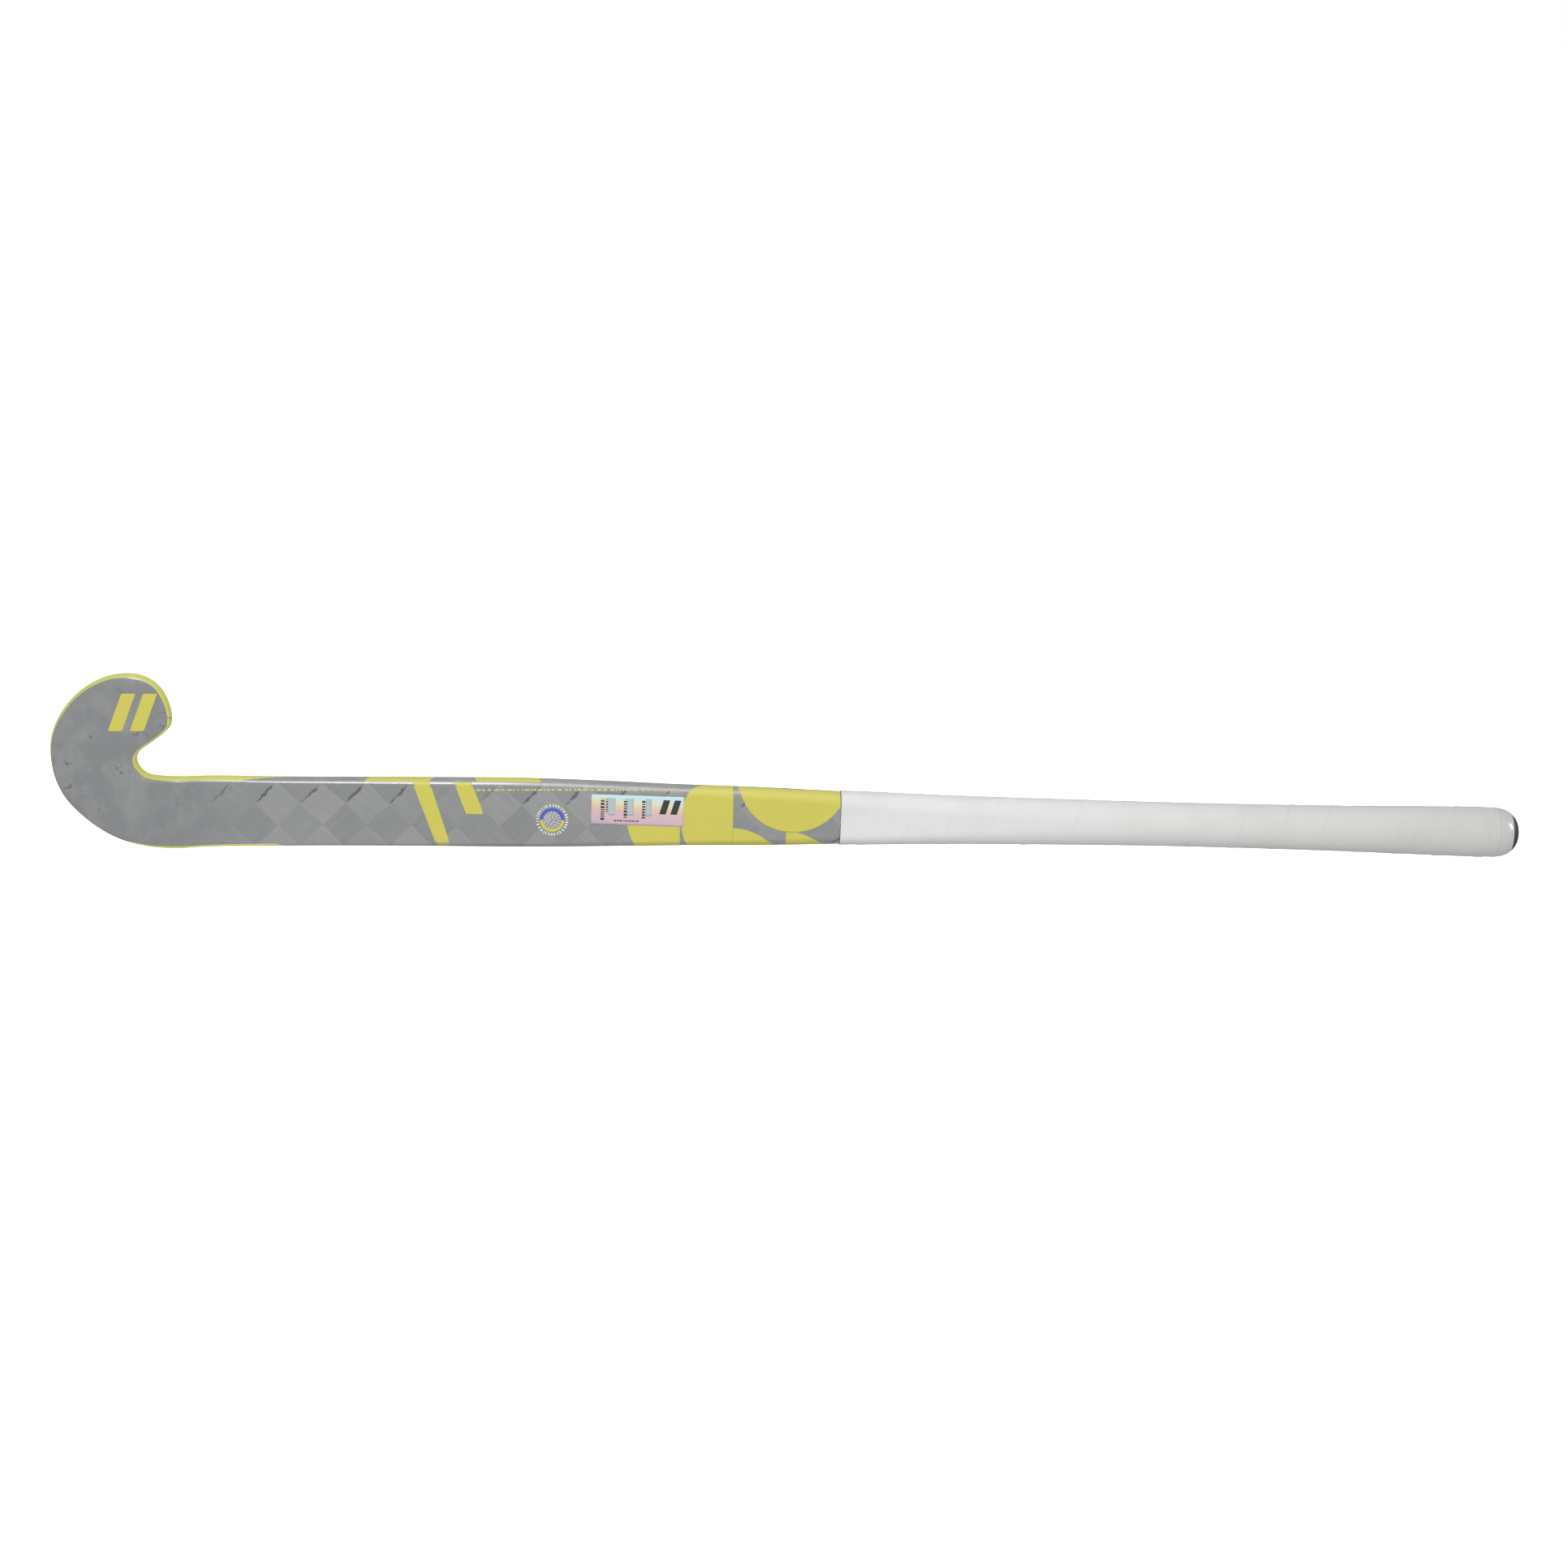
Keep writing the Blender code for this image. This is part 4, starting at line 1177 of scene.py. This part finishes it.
    def build(self, inks: dict[str, Material]) -> None:
        """Prints everything, each shape with the ink of its colour."""
        self.printed("shaft_discs", self.discs(), inks["yellow"])
        self.printed("shaft_bars", self.bars(), inks["yellow"])
        self.printed("print_row", self.dashes(), inks["pale"])
        self.printed("edge_mark", [slanted(452.0, 464.0, 24.2, 25.6, 0.4)], inks["grey"], layers=2)
        self.head_bars(inks["yellow"])
        rng = np.random.default_rng(11)
        ticks, at = [], 0.0
        while at < 352.0:
            width = float(rng.choice([3.5, 6.0]))
            ticks.append((8.5, 10.2, at, at + width))
            at += width + float(rng.choice([4.5, 7.5]))
        dashes = [
            (radius, radius + 0.5, start + 37.0 * radius, start + 37.0 * radius + 54.0 / radius)
            for radius in (0.8, 1.8, 2.8, 3.8, 4.8)
            for start in np.arange(0.0, 359.0, 360.0 / round(3.6 * radius))
        ]
        self.roundel("roundel_ticks", inks["white"], ticks)
        self.roundel("roundel_upper_arc", inks["blue"], [(5.8, 7.7, 2.0, 178.0)])
        self.roundel("roundel_lower_arc", inks["yellow"], [(5.8, 7.7, 182.0, 358.0)])
        self.roundel("roundel_dashes", inks["white"], dashes)


@dataclass
class SpecLabel:
    """The holographic specification label, with its blank fields and plain bars. The tables are shares of
    the label: left, right, low and high side of each field; the same and how far the high side leans over,
    for the leaning bars; left side, width, low and high side of each column of bars."""

    form: StickForm
    start: float = 0.3313
    length: float = 0.0585
    width: float = 0.0192
    height: float = 0.0044
    turn: float = math.radians(-0.9)
    lift: float = 0.00022
    thickness: float = 0.00012
    print_rise: float = 0.00004
    print_thickness: float = 0.00003
    fields: tuple[tuple[float, ...], ...] = (
        (0.185, 0.26, 0.32, 0.90), (0.385, 0.455, 0.32, 0.90), (0.585, 0.65, 0.32, 0.90),
    )
    leaning: tuple[tuple[float, ...], ...] = (
        (0.735, 0.805, 0.40, 0.88, 0.045), (0.855, 0.925, 0.40, 0.88, 0.045),
    )
    columns: tuple[tuple[float, ...], ...] = (
        (0.102, 0.042, 0.15, 0.86), (0.158, 0.022, 0.42, 0.86),
        (0.352, 0.034, 0.24, 0.86), (0.548, 0.034, 0.24, 0.86),
    )

    def places(self, u: Array, v: Array, lift: float) -> Array:
        """Frame points of the label's own coordinates, both from 0 to 1."""
        x, z = (u - 0.5) * self.length, (v - 0.5) * self.width
        along = self.start + self.length / 2 + x * math.cos(self.turn) - z * math.sin(self.turn)
        across = self.height + x * math.sin(self.turn) + z * math.cos(self.turn)
        return self.form.bend(np.stack([along, np.full_like(along, -lift), across], -1))

    def sheet(
        self, name: str, boxes: list[tuple[float, ...]], finish: Material, stands_for: tuple[str, ...] = ()
    ) -> None:
        """Flat rectangles: the sheet that stands for the CAD's label is its film, and the rest lie on it."""
        lift = self.lift if stands_for else self.lift + self.print_rise
        thickness = self.thickness if stands_for else self.print_thickness
        patches, maps = [], []
        for left, right, low, high, *lean in boxes:
            size = (max(2, int((right - left) * 40) + 2), max(2, int((high - low) * 14) + 2))
            u, v = np.meshgrid(np.linspace(left, right, size[0]), np.linspace(low, high, size[1]), indexing="ij")
            u = u + (lean[0] if lean else 0.0) * (v - low) / (high - low)
            patches.append(self.places(u, v, lift))
            maps.append(np.stack([u.ravel(), v.ravel()], 1)[grid_faces(*size, False).ravel()])
        mesh = patch_mesh(name, patches)
        add_uv(mesh, "film", np.concatenate(maps))
        face_forward(mesh)
        add_piece(mesh, finish, stands_for, None, thickness)

    def build(self, film: Material, blank: Material, black: Material) -> None:
        """The film, three blank fields, and bars where the printing would stand."""
        ink = list(self.leaning)
        rng = np.random.default_rng(3)
        for left, width, low, high in self.columns:
            at = low
            while at < high:
                top = at + float(rng.choice([0.035, 0.055, 0.075]))
                ink.append((left, left + width, at, min(top, high)))
                at = top + 0.035
        at = 0.25
        while at < 0.52:
            right = at + float(rng.choice([0.008, 0.014, 0.022]))
            ink.append((at, right, 0.12, 0.165))
            at = right + 0.008
        self.sheet("label_film", [(0.0, 1.0, 0.0, 1.0)], film, ("spec_label",))
        self.sheet("label_fields", list(self.fields), blank)
        self.sheet("label_bars", ink, black)


@dataclass
class GripWrap:
    """The grip: one tape wound up the handle in a spiral, each turn lapped over the last."""

    skin: Skin
    start: float = 0.4896
    end: float = 0.9124
    pitch: float = 0.0266
    lap: float = 0.0035
    first_turn: float = 0.876
    step: float = 0.00026
    crown: float = 0.00006
    sunk: float = 0.00012
    pressed: float = 0.00018
    thickness: float = 0.0009
    around: int = 72

    def profile(self) -> tuple[Array, Array]:
        """Place across one turn, from 0 to 1, and height over the sunk surface there.

        A turn begins with the lapped edge, a rounded step of the tape's give, slopes off over the lap, is
        slightly crowned along its middle and ends where the next turn's edge stands on it.
        """
        slope = np.linspace(0.05, self.lap * 2.4 / self.pitch, 8)
        rest = np.linspace(slope[-1] + 0.06, 0.985, 10)
        rise = np.array([0.55, 0.86, 1.0, 1.0]) * self.step
        fall = self.step * (1 - smooth_step(slope[0] * 0.6, slope[-1], slope))
        crown = self.crown * np.sin(np.pi * (rest - slope[-1]) / (1 - slope[-1]))
        across = np.concatenate([[0.0, 0.004, 0.010, 0.020], slope, rest, [0.9965, 1.0]])
        return across, np.concatenate([rise, fall, crown, [-0.00003, -0.00003]])

    def build(self, finish: Material) -> None:
        """Builds the winding.

        The grid's first direction runs along the tape, a full turn for every 72 rows, and the second across
        it. A point's station is the start plus the pitch times its turns and its place across the tape, and
        its girth goes once round the section a turn, so the tape's next turn begins where this one ends.
        """
        across, height = self.profile()
        turns = (self.end - self.start) / self.pitch + 1
        count = int(math.ceil(turns)) * self.around + 1
        turn = np.arange(count) / self.around
        station = self.start + self.pitch * (turn[:, None] - 1 + across[None])
        girth_share = 2 * ((turn + self.first_turn) % 1.0) - 1
        inside = np.clip(station, self.start, self.end)
        girth = girth_share[:, None] * self.skin.half_girth_at(inside)
        give = 0.62 + 0.38 * np.sin(turn * 5.3 + 1.1) * np.sin(turn * 2.17 + 0.4)
        under = smooth_step(self.start + 0.0132, self.start + 0.0118, station)
        under = np.maximum(under, smooth_step(self.end - 0.0079, self.end - 0.0071, station))
        lift = height[None] * give[:, None] - self.sunk - self.pressed * under
        points = self.skin.at(inside, girth, lift)
        riser = np.concatenate([points[self.around :, :1], points[-self.around :, -1:]])
        points = np.concatenate([points, riser], 1)
        reached = np.concatenate([inside, inside[:, -1:]], 1)
        faces = grid_faces(count, points.shape[1], False)
        spread = np.ptp(reached.ravel()[faces], axis=-1)
        mesh = make_mesh("grip_winding", points, faces[spread > 1e-6])
        # seam: where painted shade darkens the tape, along each turn's lapped edge and where the next turn's edge
        # stands on it, more on some turns than others
        shown = np.clip(0.55 + 0.6 * np.sin(turn * 8.1 + 0.6) * np.sin(turn * 3.3), 0.12, 1.0)[:, None]
        line = np.exp(-across / 0.02) + 0.8 * np.exp(-(1 - across) / 0.015)
        add_value(mesh, "seam", np.clip(np.concatenate([shown * line[None], shown], 1), 0, 1))
        clean(mesh, 4e-6)
        made = add_piece(mesh, finish, ("grip_wrap",), 55.0, self.thickness)
        length = turns * 2 * float(self.skin.half_girth_at(np.array([0.7]))[0])
        log.info("grip tape: %.1f mm wide, %.2f m long", (self.pitch + self.lap) * 1000, length)


@dataclass
class FinishingTape:
    """The thin tape that holds the grip's lower end down."""

    skin: Skin
    start: float = 0.48965
    width: float = 0.0119
    lift: float = 0.00010
    lip: float = 0.00006
    thickness: float = 0.00006

    def build(self, finish: Material) -> None:
        """A sleeve whose two edges turn slightly down; each point is the skin's, lifted by the tape."""
        place = np.linspace(0, 1, 25)
        lip = self.lip * (np.exp(-place / 0.02) + np.exp(-(1 - place) / 0.02))
        share = np.linspace(-1, 1, 145)[:-1]
        station = (self.start + self.width * place)[:, None] + np.zeros_like(share)[None]
        girth = share[None] * self.skin.half_girth_at(station)
        points = self.skin.at(station, girth, self.lift - lip[:, None] + np.zeros_like(station))
        mesh = make_mesh("finishing_tape_band", points, grid_faces(*station.shape, True))
        clean(mesh, 1e-7)
        add_piece(mesh, finish, ("finishing_tape",), wall=self.thickness)


@dataclass
class ButtEnd:
    """The collar band and the rubber cap, both turned round the handle's axis."""

    form: StickForm
    butt_round: float = 0.0143
    flat_radius: float = 0.0035
    cap_shown: float = 0.0052
    cap_seat: float = 0.0127
    collar_width: float = 0.0169
    collar_thick: float = 0.00035
    collar_taper: float = 0.00034
    taper_reach: float = 0.0022
    cap_lip: float = 0.00015
    skin_gap: float = 0.0001
    seat: float = 0.0015
    bore_gap: float = 0.0003
    spigot: float = 0.016
    rib: float = 0.0004
    spigot_wall: float = 0.0032
    pole: float = 0.00005

    def radius(self, from_tip: Array) -> Array:
        """Radius of the rounded butt: a quarter oval round the cap's small flat."""
        over = self.form.butt_radius + self.skin_gap + self.collar_thick
        share = 1 - np.minimum(from_tip / self.butt_round, 1)
        return self.flat_radius + (over - self.flat_radius) * np.sqrt(1 - share**2)

    def turned(self, name: str, radius: Array, from_tip: Array, count: int) -> Mesh:
        """A half profile carried round the handle's axis: each point is the axis point at its distance from
        the tip, plus its radius along a direction that turns once."""
        turn = np.linspace(0, 2 * math.pi, count + 1)[:-1][None]
        station = (self.form.length - from_tip)[:, None] + np.zeros_like(turn)
        behind = self.form.butt_radius + radius[:, None] * np.sin(turn)
        points = self.form.bend(np.stack([station, behind, radius[:, None] * np.cos(turn)], -1))
        return make_mesh(name, points, grid_faces(*station.shape, True))

    def collar(self, finish: Material) -> None:
        """A thin band, its lower edge tapered onto the grip and its upper edge rolled in over the cap."""
        low = self.cap_shown + self.collar_width
        from_tip = np.concatenate([
            self.cap_shown + np.array([0.0, 0.00004, 0.00012]),
            np.linspace(self.cap_shown + 0.0003, self.butt_round, 26),
            np.linspace(self.butt_round + 0.0006, low, 22),
        ])
        radius = self.radius(from_tip)
        radius[:2] -= np.array([0.00022, 0.00007])
        radius -= self.collar_taper * smooth_step(low - self.taper_reach, low, from_tip)
        mesh = self.turned("collar_band", radius, from_tip, 144)
        clean(mesh, 1e-7)
        add_piece(mesh, finish, ("butt_collar",), wall=self.collar_thick - self.skin_gap)

    def cap(self, finish: Material) -> None:
        """The dome with a moulded bead at its rim, the flange under the collar and the hollow spigot, whose
        two ribs reach the bore. The small rings at both ends are closed."""
        bare = np.linspace(0, 1, 30) ** 1.6 * (self.cap_shown - 0.0007)
        dome = self.radius(bare) - self.cap_lip * np.minimum(bare / 0.0002, 1)
        bead = self.cap_shown - np.array([0.00055, 0.0004, 0.0003])
        bead_radius = self.radius(bead) - self.cap_lip - np.array([0.00005, 0.00018, 0.00042])
        seated = np.linspace(self.cap_shown - 0.0002, self.cap_seat, 8)
        seat_radius = self.radius(seated) - self.collar_thick - self.skin_gap
        bore = self.form.butt_radius - self.seat - self.form.wall - self.bore_gap
        seat, end = self.cap_seat, self.cap_seat + self.spigot
        low, inner = bore - self.rib, bore - self.spigot_wall
        tail = np.array([
            (low, seat), (low, seat + 0.0026), (bore, seat + 0.003), (low, seat + 0.0056), (low, end - 0.0038),
            (bore, end - 0.0034), (low, end - 0.0008), (low, end), (inner, end), (inner, seat), (self.pole, seat),
        ])
        radius = np.concatenate([[self.pole], dome, bead_radius, seat_radius, tail[:, 0]])
        from_tip = np.concatenate([[0.0], bare, bead, seated, tail[:, 1]])
        count = 120
        mesh = self.turned("rubber_cap", radius, from_tip, count)
        with editing(mesh) as shape:
            for first in (0, (len(radius) - 1) * count):
                shape.faces.new(shape.verts[first : first + count])
        add_piece(mesh, finish, ("end_cap",))


@dataclass(frozen=True)
class Inside:
    """The pieces that the laminate hides, which keep their CAD shapes, by their finish."""

    finishes: tuple[tuple[str, tuple[str, ...]], ...] = (
        ("aramid", ("impact_layer",)),
        ("foam", ("head_core", "toe_side_handle_foam", "heel_side_handle_foam")),
        ("carbon", ("toe_side_tube", "heel_side_tube")),
    )

    def build(self, materials: dict[str, Material]) -> None:
        """Puts each finish on its nodes."""
        for key, names in self.finishes:
            for name in names:
                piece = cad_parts[name]
                if not piece.material_slots:
                    piece.data.materials.append(None)
                for place in piece.material_slots:
                    place.material = materials[key]
                log.info("%s: %s finish", name, key)


class Rays(Enum):
    """Kinds of ray that can be kept from seeing a light."""

    DIFFUSE = "visible_diffuse"
    GLOSSY = "visible_glossy"


@dataclass(frozen=True)
class Softbox:
    """A rectangular light, turned towards a place on the line of the stick: its power in watts, its size
    along and across the stick, where it hangs, the place it is aimed at and the rays that don't see it."""

    name: str
    power: float
    size: Pair
    centre: Triple
    aim: float
    unseen_by: Rays = Rays.DIFFUSE

    def build(self) -> None:
        """Hangs the light."""
        data = bpy.data.lights.new(self.name, "AREA")
        data.shape, data.energy = "RECTANGLE", self.power
        data.size, data.size_y = self.size
        made = bpy.data.objects.new(self.name, data)
        bpy.context.scene.collection.objects.link(made)
        made.location = self.centre
        toward = Vector((self.aim - self.centre[0], -self.centre[1], -self.centre[2]))
        made.rotation_euler = toward.to_track_quat("-Z", "Y").to_euler()
        made.visible_camera = False
        setattr(made, self.unseen_by.value, False)


@dataclass
class Studio:
    """A pale floor, a soft dome, four softboxes and the camera. The fill in front shows no reflection; the
    two lights above and the one past the butt show only as one."""

    floor_drop: float = 0.16
    floor_size: float = 400.0
    dome_near: float = 0.73
    dome_far: float = 0.49
    lights: tuple[Softbox, ...] = (
        Softbox("front_fill", 5.2, (0.95, 0.30), (-0.58, -0.88, 0.55), -0.58, Rays.GLOSSY),
        Softbox("overhead_sheen", 7.9, (0.30, 0.62), (-0.735, 0.16, 1.0), -0.735),
        Softbox("overhead_glow", 3.0, (0.50, 0.62), (-0.33, 0.16, 1.0), -0.33),
        Softbox("side_glint", 3.2, (0.16, 0.36), (0.92, -0.30, 0.42), 0.06),
    )
    distance: float = 1.6
    azimuth: float = -4.0
    elevation: float = 11.3
    roll: float = 1.765
    target: Triple = (-0.40508, 0.0, 0.02322)
    frame_width: float = 0.99237
    sensor: float = 36.0

    def floor(self) -> None:
        """One large pale square under the stick."""
        half, low = self.floor_size / 2, CAD_BOX[0][2] - self.floor_drop
        mesh = bpy.data.meshes.new("studio_floor")
        corners = [(x * half, y * half, low) for x, y in ((-1, -1), (1, -1), (1, 1), (-1, 1))]
        mesh.from_pydata(corners, [], [(0, 1, 2, 3)])
        made = bpy.data.objects.new("studio_floor", mesh)
        bpy.context.scene.collection.objects.link(made)
        pale = bpy.data.materials.new("pale_floor")
        pale.use_nodes = True
        b, inputs = Board(pale.node_tree), pale.node_tree.nodes["Principled BSDF"].inputs
        b.put(inputs["Base Color"], (0.9, 0.9, 0.9))
        b.put(inputs["Roughness"], 0.9)
        b.put(inputs["Emission Color"], (1.0, 1.0, 1.0))
        b.put(inputs["Emission Strength"], 1.0)
        mesh.materials.append(pale)
        made.visible_diffuse = made.visible_glossy = False

    def dome(self) -> None:
        """White for the camera; for the light on the stick, brightest from the front and above."""
        world = bpy.data.worlds.new("studio")
        world.use_nodes = True
        bpy.context.scene.world = world
        b = Board(world.node_tree)
        direction = b.node("TexCoord").outputs["Generated"]
        toward = b.node("VectorMath", {0: direction, 1: (0.0, -0.89, 0.46)}, operation="DOT_PRODUCT")
        light = b.stretch(toward.outputs["Value"], -0.75, 0.9, self.dome_far, self.dome_near)
        inputs = world.node_tree.nodes["Background"].inputs
        b.put(inputs["Color"], (1.0, 1.0, 1.0))
        b.put(inputs["Strength"], b.blend(b.node("LightPath").outputs["Is Camera Ray"], light, 1.0))

    def camera(self) -> None:
        """The camera, aimed at the target and rolled a little."""
        az, el, roll = (math.radians(x) for x in (self.azimuth, self.elevation, self.roll))
        back = np.array([math.sin(az) * math.cos(el), -math.cos(az) * math.cos(el), math.sin(el)])
        right = np.array([math.cos(az), math.sin(az), 0.0])
        up = np.cross(back, right)
        across = right * math.cos(roll) + up * math.sin(roll)
        above = up * math.cos(roll) - right * math.sin(roll)
        place = np.array(self.target) + back * self.distance
        data = bpy.data.cameras.new("studio_camera")
        data.sensor_width = self.sensor
        data.lens = self.sensor * self.distance / self.frame_width
        made = bpy.data.objects.new("studio_camera", data)
        bpy.context.scene.collection.objects.link(made)
        made.matrix_world = Matrix((*zip(across, above, back, place), (0.0, 0.0, 0.0, 1.0)))
        bpy.context.scene.camera = made

    def build(self) -> None:
        """Sets the studio up, with plain colour management."""
        self.floor()
        self.dome()
        for light in self.lights:
            light.build()
        self.camera()
        view = bpy.context.scene.view_settings
        view.view_transform, view.look, view.exposure, view.gamma = "Standard", "None", 0.0, 1.0


# The whole stick


def make_finishes(effects: Effects) -> dict[str, Material]:
    """Builds every material once."""
    inks = {
        "yellow": (0.60, 0.555, 0.105),
        "pale": (0.58, 0.57, 0.28),
        "blue": (0.075, 0.115, 0.56),
        "grey": (0.24, 0.245, 0.25),
        "white": (0.76, 0.78, 0.78),
    }
    recipes: dict[str, Finish] = {
        "laminate": Laminate("lacquered_carbon", (0.27, 0.28, 0.28), 0.42, 0.55, 0.12, bump=0.00006),
        "carbon": Cloth("bare_carbon", (0.018, 0.018, 0.02), 0.45, bump=0.00003, second=(0.06, 0.06, 0.065)),
        "aramid": Cloth("wetted_aramid", (0.62, 0.47, 0.16), 0.6, bump=0.00004,
                        second=(0.74, 0.60, 0.27), tow=0.0015),
        "foam": SoftPolymer("rigid_foam", (0.82, 0.74, 0.52), 0.9, bump=0.0002, grain=0.0009,
                            shade=(0.66, 0.56, 0.34)),
        **{key: Ink(key + "_ink", colour, 0.55, specular=0.35) for key, colour in inks.items()},
        "black": Ink("black_ink", (0.035, 0.035, 0.04), 0.45, 0.1, 0.2),
        "blank": Ink("blank_field", (0.44, 0.52, 0.57), 0.5, 0.1, 0.2),
        "film": Iridescent("iridescent_film", (0.78, 0.7, 0.72), 0.28, 0.4, 0.08, bump=0.000004),
        # the grip carries painted shade along its seams and towards the butt
        "grip": SoftPolymer("grip_polymer", (0.745, 0.742, 0.738), 0.6, bump=0.00004, grain=0.0007,
                            shade=(0.60, 0.595, 0.58), marks=0.30, specular=0.3, seam_shade=0.5),
        "tape": SoftPolymer("tape_polymer", (0.755, 0.752, 0.745), 0.45, bump=0.00001, grain=0.0005,
                            shade=(0.69, 0.69, 0.67), marks=0.2, specular=0.35),
        "collar": SoftPolymer("collar_plastic", (0.60, 0.605, 0.59), 0.30, 0.6, 0.08, bump=0.00001,
                              grain=0.001, shade=(0.54, 0.545, 0.52)),
        "rubber": SoftPolymer("moulded_rubber", (0.022, 0.024, 0.023), 0.55, bump=0.00003, grain=0.0005,
                              shade=(0.05, 0.05, 0.048), marks=0.5),
    }
    return {key: recipe.build(effects) for key, recipe in recipes.items()}


def main() -> None:
    """Builds the stick's pieces in order, then the studio."""
    logging.basicConfig(level=logging.INFO, format="%(name)s: %(message)s")
    form = StickForm()
    skin = Skin(form)
    finishes = make_finishes(Effects())
    LaminateShell(form).build(finishes["laminate"], finishes["carbon"])
    Graphics(form, skin).build(finishes)
    SpecLabel(form).build(finishes["film"], finishes["blank"], finishes["black"])
    GripWrap(skin).build(finishes["grip"])
    FinishingTape(skin).build(finishes["tape"])
    butt = ButtEnd(form)
    butt.collar(finishes["collar"])
    butt.cap(finishes["rubber"])
    Inside().build(finishes)
    Studio().build()


if __name__ == "__main__":
    main()
